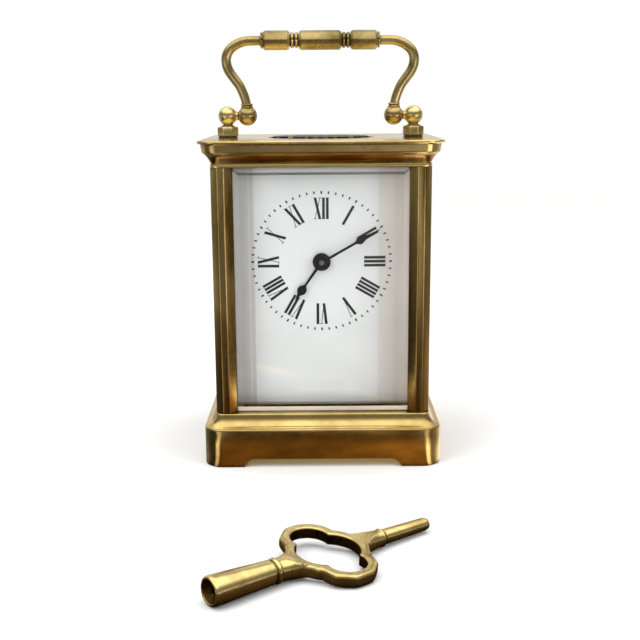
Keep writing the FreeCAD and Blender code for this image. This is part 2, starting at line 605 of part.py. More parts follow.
# ---------------------------------------------------------------- rear door
def door_frame():
    """A rebated brass frame whose hinge stile is rounded about the pins."""
    low, high = BASE_TOP + DOOR_GAP, CORNICE_BOTTOM - DOOR_GAP
    rear = DOOR_FRONT + DOOR_THICK
    frame = box(-DOOR_X, HINGE_AT[0], DOOR_FRONT, rear, low, high).fuse(rod_z(HINGE_R, HINGE_AT, low, high))
    inner = DOOR_X - DOOR_FRAME
    frame = frame.cut(box(-inner, inner, DOOR_FRONT - 1, rear + 1, low + DOOR_FRAME, high - DOOR_FRAME))
    rebate, margin = inner + DOOR_LAP, DOOR_FRAME - DOOR_LAP
    frame = frame.cut(box(-rebate, rebate, DOOR_FRONT - 1, DOOR_FRONT + DOOR_GLASS, low + margin, high - margin))
    cutters = [rod_z(HINGE_PIN_R, HINGE_AT, low - 1, low + 4), rod_z(HINGE_PIN_R, HINGE_AT, high - 4, high + 1)]
    cutters.append(rod_y(KNOB_SHANK_R, KNOB_AT, DOOR_FRONT - 1, rear + 1))
    return frame.cut(cutters).removeSplitter()


def door_glass():
    inner, margin = DOOR_X - DOOR_FRAME + DOOR_LAP, DOOR_GAP + DOOR_FRAME - DOOR_LAP
    low, high = BASE_TOP + margin, CORNICE_BOTTOM - margin
    pane = bevelled_glass(inner, low, high, 3.0, 0.8, DOOR_GLASS)
    pane.rotate(V(0, 0, 0), UP, 180)
    pane.translate(V(0, DOOR_FRONT + DOOR_GLASS, 0))
    return pane


def door_knob():
    """A small turned knob on the free stile, riveted through it."""
    x, z = KNOB_AT
    profile = [
        (0, -DOOR_THICK), (KNOB_SHANK_R, -DOOR_THICK), (KNOB_SHANK_R, 0), (1.9, 0), (1.9, 0.4), (0.9, 0.7),
        (0.9, 1.6), (1.6, 2.0), (2.1, 2.7), (2.1, 3.3), (1.6, 3.9), (0, 4.1),
    ]
    return lathe(profile, V(x, DOOR_FRONT + DOOR_THICK, z), BACKWARD)


def door_hinge_pins():
    low, high = BASE_TOP + DOOR_GAP, CORNICE_BOTTOM - DOOR_GAP
    lower = rod_z(HINGE_PIN_R, HINGE_AT, BASE_TOP - 1.9, low + 4)
    upper = rod_z(HINGE_PIN_R, HINGE_AT, high - 4, CORNICE_BOTTOM + 1.9)
    return Part.makeCompound([lower, upper])


# ---------------------------------------------------------------- movement frame
def plate_pillar_places():
    return [(x, z) for x in (-PLATE_PILLAR_X, PLATE_PILLAR_X) for z in (PLATE_PILLAR_LOW, PLATE_PILLAR_HIGH)]


def dial_feet():
    return [(x, z) for x in (-DIAL_FOOT_X, DIAL_FOOT_X) for z in (DIAL_FOOT_LOW, DIAL_FOOT_HIGH)]


def deck_screw_places():
    front_y, rear_y = FRONT_PLATE + MOVEMENT_PLATE / 2, BACK_PLATE + MOVEMENT_PLATE / 2
    return [(x, y) for x in (-16.0, 16.0) for y in (front_y, rear_y)]


def movement_plate(front, holes):
    """A rectangular plate that stands on the base. holes lists (place, radius)."""
    rear = front + MOVEMENT_PLATE
    plate = box(-PLATE_X, PLATE_X, front, rear, BASE_TOP, PLATE_TOP)
    chamfers = [(s * PLATE_X, PLATE_TOP) for s in (-1, 1)]
    for x, z in chamfers:
        inward = -math.copysign(4.0, x)
        plate = plate.cut(prism_y([(x, z), (x + inward, z), (x, z - 4.0)], front - 1, rear + 1))
    cutters = [rod_y(radius, at, front - 1, rear + 1) for at, radius in holes]
    for x, y in deck_screw_places():
        if front < y < rear:
            cutters.append(rod_z(DECK_SCREW_R, (x, y), DECK - DECK_SCREW_LONG, PLATE_TOP + 1))
    return plate.cut(cutters)


def oil_sinks(plate, places, face, outward):
    """Shallow dished sinks around the pivot holes on a plate's outer face."""
    sinks = []
    for at in places:
        start = V(at[0], face, at[1])
        sinks.append(Part.makeCone(1.5, 0.5, 0.6, start, V(0, -outward, 0)))
    return plate.cut(sinks)


def front_plate():
    holes = [(CENTRE, THICK_PIVOT + RUN), (INTER, INTER_PIVOT + RUN), (THIRD, THIN_PIVOT + RUN)]
    holes += [(CONTRATE, THIN_PIVOT + RUN), (WIND, WIND_FRONT_PIVOT + RUN), (MINUTE, MINUTE_STUD_R)]
    holes += [(at, RIVET_R) for at in plate_pillar_places()] + [(at, DIAL_FOOT_R) for at in dial_feet()]
    plate = movement_plate(FRONT_PLATE, holes)
    return oil_sinks(plate, [INTER, THIRD, CONTRATE], FRONT_PLATE, -1)


def back_plate():
    holes = [(CENTRE, SET_PIVOT + RUN), (INTER, INTER_PIVOT + RUN), (THIRD, THIN_PIVOT + RUN)]
    holes += [(CONTRATE, THIN_PIVOT + RUN), (WIND, WIND_PIVOT + RUN), (CLICK_AT, CLICK_SCREW_R)]
    holes += [(at, PLATE_SCREW_R) for at in plate_pillar_places()] + [(SPRING_FOOT, CLICK_SCREW_R)]
    plate = movement_plate(BACK_PLATE, holes)
    return oil_sinks(plate, [INTER, THIRD, CONTRATE], BACK_REAR, 1)


def plate_pillars():
    """Four turned pillars, riveted into the front plate and tapped for the back plate's screws."""
    long = BACK_PLATE - INNER_FRONT
    pillars = []
    for x, z in plate_pillar_places():
        body = lathe(
            [
                (0, 0), (3.0, 0), (3.0, 1.5), (2.4, 2.0), (2.4, 4.0), (2.9, 4.4), (2.9, 5.0), (2.2, 5.6),
                (2.2, long - 5.6), (2.9, long - 5.0), (2.9, long - 4.4), (2.4, long - 4.0),
                (2.4, long - 2.0), (3.0, long - 1.5), (3.0, long), (0, long),
            ],
            V(x, INNER_FRONT, z),
            BACKWARD,
        )
        body = body.fuse(rod_y(RIVET_R, (x, z), FRONT_PLATE, INNER_FRONT)).removeSplitter()
        body = body.cut(rod_y(PLATE_SCREW_R, (x, z), BACK_REAR - MOVEMENT_PLATE - PLATE_SCREW_LONG, BACK_REAR))
        if z == PLATE_PILLAR_LOW:
            screw_end = BASE_TOP - BASE_DECK + CASE_SCREW_LONG
            body = body.cut(rod_z(CASE_SCREW_R, (x, 0), BASE_TOP - 1, screw_end))
        pillars.append(body)
    return Part.makeCompound(pillars)


def plate_screws():
    screws = []
    for x, z in plate_pillar_places():
        head_end = BACK_REAR + PLATE_SCREW_HEAD
        radius, high = PLATE_SCREW_HEAD_R, PLATE_SCREW_HEAD
        profile = [(0, 0), (radius, 0), (radius, high - 0.4), (radius - 0.4, high), (0, high)]
        head = lathe(profile, V(x, BACK_REAR, z), BACKWARD)
        shank = rod_y(PLATE_SCREW_R, (x, z), BACK_PLATE - PLATE_SCREW_LONG, BACK_REAR)
        screws.append(slotted(head.fuse(shank).removeSplitter(), V(x, head_end, z), RIGHT, BACKWARD, 0.6, 0.5))
    return Part.makeCompound(screws)


def dial():
    """A rectangular enamelled plate with four feet, which enter the front plate."""
    rear = DIAL_FRONT + DIAL_THICK
    plate = box(-DIAL_X, DIAL_X, DIAL_FRONT, rear, DIAL_LOW, DIAL_HIGH)
    plate = plate.makeFillet(0.3, [e for e in plate.Edges if e.CenterOfMass.y < DIAL_FRONT + 0.01])
    feet = [rod_y(DIAL_FOOT_R, at, rear - 0.2, INNER_FRONT) for at in dial_feet()]
    return joined([plate] + feet).cut(rod_y(DIAL_HOLE_R, CENTRE, DIAL_FRONT - 1, rear + 1))


# ---------------------------------------------------------------- motion work and hands
def arbor_y(at, body, pivot, extra):
    """An arbor between the plates with a pivot in each."""
    shaft = rod_y(body, at, INNER_FRONT + END_SHAKE, BACK_PLATE - END_SHAKE)
    return joined([shaft, rod_y(pivot, at, FRONT_PLATE + 0.3, BACK_REAR - 0.3)] + extra)


CENTRE_PINION_PHASE = 0.0
INTER_WHEEL_PHASE = meshed_phase(CENTRE_PINION_PHASE, PINION_T, direction_of(CENTRE, INTER), INTER_T)
INTER_PINION_PHASE = 0.0
GREAT_PHASE = meshed_phase(INTER_PINION_PHASE, PINION_T, direction_of(INTER, WIND), GREAT_T)
CENTRE_WHEEL_PHASE = 0.0
TO_THIRD, TO_CONTRATE = direction_of(CENTRE, THIRD), direction_of(THIRD, CONTRATE)
THIRD_PINION_PHASE = meshed_phase(CENTRE_WHEEL_PHASE, CENTRE_WHEEL_T, TO_THIRD, SMALL_PINION_T)
THIRD_WHEEL_PHASE = 0.0
CONTRATE_PINION_PHASE = meshed_phase(THIRD_WHEEL_PHASE, THIRD_T, TO_CONTRATE, SMALL_PINION_T)
CANNON_PHASE = 0.0
MINUTE_WHEEL_PHASE = meshed_phase(CANNON_PHASE, CANNON_T, MINUTE_ANGLE, MINUTE_T)
MINUTE_PINION_PHASE = 0.0
HOUR_WHEEL_PHASE = meshed_phase(MINUTE_PINION_PHASE, MINUTE_PINION_T, MINUTE_ANGLE + math.pi, HOUR_T)


def gear_y(at, teeth, module, phase, form, span):
    return prism_y(gear_outline(at, teeth, module, phase, form), span[0], span[1])


def wheel_y(at, teeth, module, phase, span, hub, spokes, spoke_width, rim=1.1):
    """A wheel with crossings."""
    solid = gear_y(at, teeth, module, phase, WHEEL_TOOTH, span)
    inside = teeth * module / 2 - WHEEL_TOOTH["ded"] * module - rim
    return solid.cut(crossings_y(at, hub, inside, spokes, spoke_width, span[0] - 1, span[1] + 1))


def centre_arbor():
    """The arbor that carries the centre wheel and the hands. Its rear end is squared for the key."""
    shaft = rod_y(THICK_ARBOR, CENTRE, INNER_FRONT + END_SHAKE, BACK_PLATE - END_SHAKE)
    front = rod_y(THICK_PIVOT, CENTRE, MINUTE_HAND_Y - 0.7, INNER_FRONT + 1)
    collar = rod_y(SET_PIVOT + 0.4, CENTRE, BACK_PLATE - 1.5, BACK_PLATE - END_SHAKE)
    rear = rod_y(SET_PIVOT, CENTRE, BACK_PLATE - 1, BACK_REAR + 0.4)
    half = SET_SQUARE / 2
    square = box(CENTRE[0] - half, CENTRE[0] + half, BACK_REAR, SQUARE_END, CENTRE[1] - half, CENTRE[1] + half)
    pinion = gear_y(CENTRE, PINION_T, INTER_M, CENTRE_PINION_PHASE, PINION_TOOTH, CENTRE_PINION)
    return joined([shaft, front, collar, rear, square, pinion])


def centre_wheel():
    wheel = wheel_y(CENTRE, CENTRE_WHEEL_T, CENTRE_M, CENTRE_WHEEL_PHASE, CENTRE_WHEEL, 3.2, 5, 1.1)
    collet = rod_y(2.3, CENTRE, CENTRE_WHEEL[0] - 0.8, CENTRE_WHEEL[1] + 0.8)
    return wheel.fuse(collet).cut(rod_y(THICK_ARBOR, CENTRE, -12, 0)).removeSplitter()


def cannon_pinion():
    """A pinion with a long pipe that carries the minute hand."""
    teeth = gear_y(CENTRE, CANNON_T, MOTION_M, CANNON_PHASE, PINION_TOOTH, (-18.9, FRONT_PLATE - 0.2))
    pipe = rod_y(CANNON_PIPE, CENTRE, MINUTE_HAND_Y - 0.3, FRONT_PLATE - 0.2)
    return teeth.fuse(pipe).cut(rod_y(HAND_PIPE, CENTRE, -30, 0)).removeSplitter()


def minute_wheel():
    wheel = gear_y(MINUTE, MINUTE_T, MOTION_M, MINUTE_WHEEL_PHASE, WHEEL_TOOTH, (-18.8, -18.0))
    pinion = gear_y(MINUTE, MINUTE_PINION_T, HOUR_M, MINUTE_PINION_PHASE, PINION_TOOTH, (-20.5, -18.8))
    pipe = rod_y(1.1, MINUTE, -20.8, FRONT_PLATE - 0.1)
    return joined([wheel, pinion, pipe]).cut(rod_y(MINUTE_STUD_R + RUN, MINUTE, -22, FRONT_PLATE))


def minute_wheel_stud():
    """A headed post riveted into the front plate, on which the minute wheel turns."""
    head = rod_y(1.1, MINUTE, -21.4, -20.9)
    return head.fuse(rod_y(MINUTE_STUD_R, MINUTE, -21.4, INNER_FRONT)).removeSplitter()


def hour_wheel():
    wheel = gear_y(CENTRE, HOUR_T, HOUR_M, HOUR_WHEEL_PHASE, WHEEL_TOOTH, (-20.3, -19.5))
    pipe = rod_y(HOUR_PIPE, CENTRE, HOUR_HAND_Y - 0.2, -19.5)
    return wheel.fuse(pipe).cut(rod_y(HOUR_BORE, CENTRE, -30, 0)).removeSplitter()


def hand(widths, hub_r, bore, front, degrees):
    """A flat hand. widths lists (distance from the arbor, half width) up to its point."""
    angle = math.radians(90 - degrees)
    outline = [(0, -widths[0][1])]
    outline += [(r, -w) for r, w in widths] + [(r, w) for r, w in reversed(widths[:-1])]
    outline.append((0, widths[0][1]))
    turned = []
    for r, w in outline:
        x = CENTRE[0] + r * math.cos(angle) - w * math.sin(angle)
        z = CENTRE[1] + r * math.sin(angle) + w * math.cos(angle)
        turned.append((x, z))
    blade = prism_y(turned, front, front + HAND_THICK)
    hub = rod_y(hub_r, CENTRE, front, front + HAND_THICK)
    return blade.fuse(hub).cut(rod_y(bore, CENTRE, -30, 0)).removeSplitter()


def minute_hand():
    """A stem, a slender spade and a point."""
    shape = [(4, 0.45), (13.2, 0.42), (14, 0.9), (14.9, 1.35), (15.8, 1.2), (17.2, 0.75), (19, 0.42), (23.1, 0)]
    return hand(shape, 2.5, CANNON_PIPE, MINUTE_HAND_Y, MINUTE_POINTS)


def hour_hand():
    """A stem, a broad round spade and a point."""
    shape = [(4, 0.45), (9.6, 0.4), (10.5, 1.1), (11.4, 1.6), (12.4, 1.6), (13.3, 1.1), (14.2, 0.45), (16.2, 0)]
    return hand(shape, 3.1, HOUR_PIPE, HOUR_HAND_Y, HOUR_POINTS)


# ---------------------------------------------------------------- going train
def winding_arbor():
    """The barrel arbor: a thick body inside the barrel, pivots in both plates and a square for the key."""
    half = WIND_SQUARE / 2
    parts = [
        rod_y(WIND_ARBOR, WIND, INNER_FRONT + END_SHAKE, BACK_PLATE - END_SHAKE),
        rod_y(WIND_FRONT_PIVOT, WIND, FRONT_PLATE, INNER_FRONT + 1),
        rod_y(WIND_PIVOT, WIND, BACK_PLATE - 1, RATCHET_Y[0]),
        box(WIND[0] - half, WIND[0] + half, BACK_REAR, SQUARE_END, WIND[1] - half, WIND[1] + half),
    ]
    return joined(parts)


def barrel_drum():
    """The drum with the great wheel cut on its front edge."""
    wheel = gear_y(WIND, GREAT_T, GREAT_M, GREAT_PHASE, WHEEL_TOOTH, GREAT_WHEEL)
    drum = rod_y(DRUM_R, WIND, GREAT_WHEEL[1], DRUM_REAR)
    hub = rod_y(4.4, WIND, INNER_FRONT + 1.2, GREAT_WHEEL[0])
    solid = joined([wheel, drum, hub])
    solid = solid.cut(rod_y(DRUM_R - DRUM_WALL, WIND, GREAT_WHEEL[1], DRUM_REAR + 1))
    return solid.cut(rod_y(WIND_ARBOR + RUN, WIND, -20, 0))


def barrel_cover():
    cover = rod_y(DRUM_R - DRUM_WALL - FIT, WIND, DRUM_REAR - DRUM_WALL, DRUM_REAR)
    hub = rod_y(4.4, WIND, DRUM_REAR, BACK_PLATE - 1.2)
    return cover.fuse(hub).cut(rod_y(WIND_ARBOR + RUN, WIND, 0, 20)).removeSplitter()


def spiral(centre, inner, outer, turns, thick, per_turn):
    """A flat spiral strip as one closed outline. inner and outer are its outer face's first and last radius."""
    steps = turns * per_turn
    outside, inside = [], []
    for n in range(steps + 1):
        angle = 2 * math.pi * n / per_turn
        radius = inner + (outer - inner) * n / steps
        outside.append(polar(centre, radius, angle))
        inside.append(polar(centre, radius - thick, angle))
    return outside + list(reversed(inside))


def mainspring():
    """Coiled loosely round the arbor and lying against the drum at its outer end."""
    strip = spiral(WIND, WIND_ARBOR + 0.9, DRUM_R - DRUM_WALL - 0.05, 9, 0.5, 28)
    return prism_y(strip, GREAT_WHEEL[1] + 0.5, DRUM_REAR - 1.4)


def ratchet_wheel():
    """Saw teeth that pass the click as the spring is wound, and lock against it the other way."""
    pitch = 2 * math.pi / RATCHET_T
    outline = []
    for tooth in range(RATCHET_T):
        start = TIP_ANGLE + (tooth - 0.12) * pitch
        outline += [polar(WIND, RATCHET_ROOT, start), polar(WIND, RATCHET_R, start + 0.9 * pitch)]
    half = WIND_SQUARE / 2
    hole = box(WIND[0] - half, WIND[0] + half, 16, 20, WIND[1] - half, WIND[1] + half)
    return prism_y(outline, *RATCHET_Y).cut(hole)


def capsule(a, b, ra, rb):
    """The outline of two circles joined by a tapering bar, as points."""
    angle = direction_of(a, b)
    steps = 8
    points = [polar(a, ra, angle + math.pi / 2 + math.pi * n / steps) for n in range(steps + 1)]
    return points + [polar(b, rb, angle - math.pi / 2 + math.pi * n / steps) for n in range(steps + 1)]


def click():
    """A pawl whose beak lies in the ratchet's teeth."""
    beak = polar(WIND, RATCHET_ROOT + 0.12, TIP_ANGLE)
    heel = polar(WIND, RATCHET_R + 0.3, TIP_ANGLE + math.radians(7))
    crown = polar(WIND, RATCHET_R + 2.0, TIP_ANGLE + math.radians(6))
    tail = polar(CLICK_AT, CLICK_BOSS_R, direction_of(CLICK_AT, beak) + math.radians(100))
    under = polar(CLICK_AT, CLICK_BOSS_R, direction_of(CLICK_AT, beak) - math.radians(70))
    arm = prism_y([beak, crown, tail, under, heel], *RATCHET_Y)
    boss = rod_y(CLICK_BOSS_R, CLICK_AT, *RATCHET_Y)
    return arm.fuse(boss).cut(rod_y(CLICK_SCREW_R + RUN, CLICK_AT, 16, 20)).removeSplitter()


def click_screws():
    """A shoulder screw for the click and one for the foot of its spring."""
    screws = []
    for x, z in (CLICK_AT, SPRING_FOOT):
        under_head = RATCHET_Y[1] + END_SHAKE
        head = rod_y(1.6, (x, z), under_head, under_head + 0.7)
        screw = head.fuse(rod_y(CLICK_SCREW_R, (x, z), BACK_PLATE + 0.2, under_head)).removeSplitter()
        screws.append(slotted(screw, V(x, under_head + 0.7, z), RIGHT, BACKWARD, 0.35))
    return Part.makeCompound(screws)


def click_spring():
    """A bent leaf that ends beside the click."""
    foot = rod_y(CLICK_BOSS_R, SPRING_FOOT, BACK_REAR, RATCHET_Y[1])
    tip = polar(CLICK_AT, 5.0, direction_of(CLICK_AT, SPRING_FOOT) - math.radians(10))
    bend = (SPRING_FOOT[0] - 3.5, SPRING_FOOT[1] + 0.9)
    blade = prism_y(capsule(SPRING_FOOT, bend, 0.6, 0.3), BACK_REAR + 0.1, RATCHET_Y[1])
    leaf = prism_y(capsule(bend, tip, 0.3, 0.25), BACK_REAR + 0.1, RATCHET_Y[1])
    return joined([foot, blade, leaf]).cut(rod_y(CLICK_SCREW_R, SPRING_FOOT, 16, 20))


def intermediate_wheel():
    wheel = wheel_y(INTER, INTER_T, INTER_M, INTER_WHEEL_PHASE, INTER_WHEEL, 2.4, 5, 1.1)
    pinion = gear_y(INTER, PINION_T, GREAT_M, INTER_PINION_PHASE, PINION_TOOTH, INTER_PINION)
    collet = rod_y(1.9, INTER, INTER_WHEEL[1] - 0.2, INTER_PINION[0])
    return arbor_y(INTER, INTER_ARBOR, INTER_PIVOT, [wheel, pinion, collet])


def third_wheel():
    wheel = wheel_y(THIRD, THIRD_T, THIRD_M, THIRD_WHEEL_PHASE, THIRD_WHEEL, 2.0, 5, 0.9)
    pinion = gear_y(THIRD, SMALL_PINION_T, CENTRE_M, THIRD_PINION_PHASE, PINION_TOOTH, THIRD_PINION)
    collet = rod_y(1.5, THIRD, THIRD_WHEEL[0] - 0.7, THIRD_WHEEL[1] + 0.7)
    return arbor_y(THIRD, THIN_ARBOR, THIN_PIVOT, [wheel, pinion, collet])


def contrate_wheel():
    """A crown wheel whose teeth point forwards and drive the upright escape pinion."""
    radius = CONTRATE_T * CONTRATE_M / 2
    inner, outer = radius - 0.42, radius + 0.42
    rim = rod_y(outer, CONTRATE, *CONTRATE_RIM).cut(rod_y(inner, CONTRATE, *CONTRATE_RIM))
    web_low = CONTRATE_RIM[1] - 0.7
    web = rod_y(inner + 0.2, CONTRATE, web_low, CONTRATE_RIM[1])
    web = web.cut(crossings_y(CONTRATE, 2.0, inner - 0.6, 4, 0.9, web_low - 1, CONTRATE_RIM[1] + 1))
    pitch = 2 * math.pi * radius / CONTRATE_T
    wide, narrow = 0.22 * pitch, 0.08 * pitch
    heel, toe = inner + 0.05, outer - 0.05  # a tooth's radial extent
    teeth = []
    for n in range(CONTRATE_T):
        tooth = prism(
            [V(-wide, CONTRATE_RIM[0] + 0.1, heel), V(wide, CONTRATE_RIM[0] + 0.1, heel),
             V(narrow, CONTRATE_TIP, heel), V(-narrow, CONTRATE_TIP, heel)],
            UP * (toe - heel),
        )
        tooth.rotate(V(0, 0, 0), BACKWARD, 360.0 * n / CONTRATE_T)
        tooth.translate(V(CONTRATE[0], 0, CONTRATE[1]))
        teeth.append(tooth)
    crown = rim.fuse(teeth)
    pinion = gear_y(CONTRATE, SMALL_PINION_T, THIRD_M, CONTRATE_PINION_PHASE, PINION_TOOTH, CONTRATE_PINION)
    collet = rod_y(1.4, CONTRATE, web_low - 0.6, CONTRATE_RIM[1] + 0.6)
    return arbor_y(CONTRATE, THIN_ARBOR, THIN_PIVOT, [crown, web, pinion, collet])


# ---------------------------------------------------------------- escapement platform
def along_platform(distance, across=0.0, origin=ESCAPE_AT):
    """A point on the line from the escape wheel to the balance, moved to one side."""
    x, y = polar(origin, distance, TOWARDS_BALANCE)
    return polar((x, y), across, TOWARDS_BALANCE + math.pi / 2)


def platform_bar(origin, start, end, half, z):
    """A bar along that line, rounded at its far end."""
    outline = [along_platform(start, -half, origin), along_platform(end, -half, origin)]
    outline += [along_platform(end, half, origin), along_platform(start, half, origin)]
    return prism_z(outline, *z)


def platform_plate():
    """The plate that carries the escapement, with two banking pins for the lever."""
    deck = box(-DECK_X, DECK_X, FRONT_PLATE, BACK_REAR, DECK_LOW, DECK)
    cutters = [rod_z(DECK_SCREW_R, at, DECK_LOW - 1, DECK + 1) for at in deck_screw_places()]
    cutters.append(rod_z(DECK_SCREW_R, cock_screws()[0], DECK_LOW - 1, DECK + 1))
    cutters += [rod_z(JEWEL_R, at, DECK_LOW - 1, DECK + 1) for at in (ESCAPE_AT, PALLET_AT, BALANCE_AT)]
    pins = []
    for side in (-1, 1):
        pins.append(rod_z(0.2, along_platform(3.4, side * 0.85, PALLET_AT), DECK - 0.3, LEVER_Z[1] + 0.1))
    return deck.cut(cutters).fuse(pins).removeSplitter()


def cock_screws():
    """Where the escape cock's and the balance cock's screws stand."""
    return [along_platform(-6.8), along_platform(11.2, 0, BALANCE_AT)]


def platform_screws():
    """Six small screws: four for the platform and one in the foot of each cock."""
    screws = []
    places = [(at, DECK) for at in deck_screw_places()]
    places += [(cock_screws()[0], COCK_Z[1]), (cock_screws()[1], BRIDGE_Z[1])]
    for at, seat in places:
        head = rod_z(DECK_SCREW_HEAD_R, at, seat, seat + DECK_SCREW_HEAD)
        screw = head.fuse(rod_z(DECK_SCREW_R, at, seat - DECK_SCREW_LONG, seat)).removeSplitter()
        screws.append(slotted(screw, V(at[0], at[1], seat + DECK_SCREW_HEAD), RIGHT, UP, 0.3, 0.3))
    return Part.makeCompound(screws)


def escape_cock():
    """A narrow bridge over the escape wheel and the pallets."""
    foot = platform_bar(ESCAPE_AT, ESCAPE_FOOT[1], ESCAPE_FOOT[0], 2.3, (DECK, COCK_Z[1]))
    arm = platform_bar(ESCAPE_AT, ESCAPE_FOOT[0] - 0.5, PALLET_DISTANCE, 1.3, COCK_Z)
    tip = rod_z(1.3, PALLET_AT, *COCK_Z)
    swell = rod_z(1.7, ESCAPE_AT, *COCK_Z)
    cutters = [rod_z(JEWEL_R, at, COCK_Z[0] - 1, COCK_Z[1] + 1) for at in (ESCAPE_AT, PALLET_AT)]
    cutters.append(rod_z(DECK_SCREW_R, cock_screws()[0], DECK - 1, COCK_Z[1] + 1))
    return joined([foot, arm, tip, swell]).cut(cutters)


def balance_cock():
    """The cock over the balance, with the stud that holds the hairspring's outer end."""
    foot = platform_bar(BALANCE_AT, BALANCE_FOOT[0], BALANCE_FOOT[1], 3.2, (DECK, BRIDGE_Z[1]))
    foot_end = rod_z(3.2, along_platform(BALANCE_FOOT[1], 0, BALANCE_AT), DECK, BRIDGE_Z[1])
    neck = platform_bar(BALANCE_AT, 0, BALANCE_FOOT[0] + 0.5, 2.0, BRIDGE_Z)
    head = rod_z(3.0, BALANCE_AT, *BRIDGE_Z)
    stud_at = polar(BALANCE_AT, 4.1, TOWARDS_BALANCE)
    stud = rod_z(0.35, stud_at, SPRING_Z[0] - 0.15, BRIDGE_Z[0] + 0.2)
    cutters = [rod_z(JEWEL_R, BALANCE_AT, BRIDGE_Z[0] - 1, BRIDGE_Z[1] + 1)]
    cutters.append(rod_z(DECK_SCREW_R, cock_screws()[1], BRIDGE_Z[1] - DECK_SCREW_LONG, BRIDGE_Z[1] + 1))
    return joined([foot, foot_end, neck, head, stud]).cut(cutters)


def jewels():
    """Ruby bearings: three in the platform, two in the escape cock, one with its end cap in the balance cock."""
    rings = [(ESCAPE_AT, DECK_LOW + 0.4, DECK, ESCAPE_ARBOR), (PALLET_AT, DECK_LOW + 0.4, DECK, FINE_PIVOT)]
    rings.append((BALANCE_AT, DECK_LOW + 0.4, DECK, FINE_PIVOT))
    rings += [(at, COCK_Z[0], COCK_Z[1], FINE_PIVOT) for at in (ESCAPE_AT, PALLET_AT)]
    rings.append((BALANCE_AT, BRIDGE_Z[0], BRIDGE_Z[1], FINE_PIVOT))
    solids = []
    for at, low, high, hole in rings:
        solids.append(rod_z(JEWEL_R, at, low, high).cut(rod_z(hole + RUN, at, low - 1, high + 1)))
    x, y = BALANCE_AT
    solids.append(lathe([(0, 0), (1.2, 0), (1.2, 0.3), (0.8, 0.55), (0, 0.6)], V(x, y, BRIDGE_Z[1]), UP))
    return Part.makeCompound(solids)


def escape_wheel():
    """Fifteen club teeth on an upright arbor, with the pinion below the platform."""
    pitch = 2 * math.pi / ESCAPE_T
    outline = []
    for tooth in range(ESCAPE_T):
        start = TOWARDS_BALANCE + tooth * pitch
        outline += [
            polar(ESCAPE_AT, 2.85, start), polar(ESCAPE_AT, ESCAPE_R - 0.12, start + 0.30 * pitch),
            polar(ESCAPE_AT, ESCAPE_R, start + 0.48 * pitch), polar(ESCAPE_AT, 2.85, start + 0.32 * pitch),
        ]
    wheel = prism_z(outline, *ESCAPE_WHEEL_Z)
    gaps = rod_z(2.3, ESCAPE_AT, 96, 97).cut(rod_z(0.95, ESCAPE_AT, 96, 97))
    for spoke in range(4):
        bar = box(0, 3, -0.25, 0.25, 96, 97)
        bar.rotate(V(0, 0, 0), UP, 90 * spoke + 20)
        bar.translate(V(ESCAPE_AT[0], ESCAPE_AT[1], 0))
        gaps = gaps.cut(bar)
    wheel = wheel.cut(gaps)
    phase = math.pi / 2 + math.pi / ESCAPE_PINION_T
    leaves = prism_z(gear_outline(ESCAPE_AT, ESCAPE_PINION_T, CONTRATE_M, phase, PINION_TOOTH), 89.8, 92.2)
    arbor = rod_z(ESCAPE_ARBOR, ESCAPE_AT, 89.5, COCK_Z[0] - END_SHAKE)
    pivot = rod_z(FINE_PIVOT, ESCAPE_AT, 96, COCK_Z[1] - 0.1)
    collet = rod_z(0.8, ESCAPE_AT, DECK + 0.15, 97.1)
    return joined([wheel, leaves, arbor, pivot, collet])


def pallet_ends():
    """Inner and outer ends of the two pallet stones, on lines from the escape arbor."""
    clear, far = ESCAPE_R + 0.28, ESCAPE_R + 1.1
    angles = [TOWARDS_BALANCE + side * math.radians(30) for side in (-1, 1)]
    return [(polar(ESCAPE_AT, clear, a), polar(ESCAPE_AT, far, a)) for a in angles]


def pallet_lever():
    """The staff, the two arms that hold the stones, and the lever with its forked end."""
    arms = []
    for near, far in pallet_ends():
        middle = ((near[0] + far[0]) / 2, (near[1] + far[1]) / 2)
        arms.append(prism_z(capsule(PALLET_AT, far, 0.6, 0.42), *LEVER_Z))
        arms.append(prism_z(capsule(middle, far, 0.36, 0.42), *LEVER_Z))
    bar = platform_bar(PALLET_AT, 0, 4.4, 0.25, LEVER_Z)
    fork = platform_bar(PALLET_AT, 4.2, 5.2, 0.7, LEVER_Z).cut(platform_bar(PALLET_AT, 4.6, 5.4, 0.3, LEVER_Z))
    staff = rod_z(0.35, PALLET_AT, DECK + 0.1, COCK_Z[0] - END_SHAKE)
    pivots = rod_z(FINE_PIVOT, PALLET_AT, DECK_LOW + 0.6, COCK_Z[1] - 0.1)
    lever = joined(arms + [bar, fork, staff, pivots])
    return lever.cut([stone_bar(near, far) for near, far in pallet_ends()])


def stone_bar(near, far):
    """A small upright slab between two points."""
    return prism_z(capsule_square(near, far, 0.17), LEVER_Z[0] - 0.05, LEVER_Z[1] + 0.05)


def capsule_square(a, b, half):
    angle = direction_of(a, b) + math.pi / 2
    return [polar(a, -half, angle), polar(b, -half, angle), polar(b, half, angle), polar(a, half, angle)]


def pallet_stones():
    return Part.makeCompound([stone_bar(near, far) for near, far in pallet_ends()])


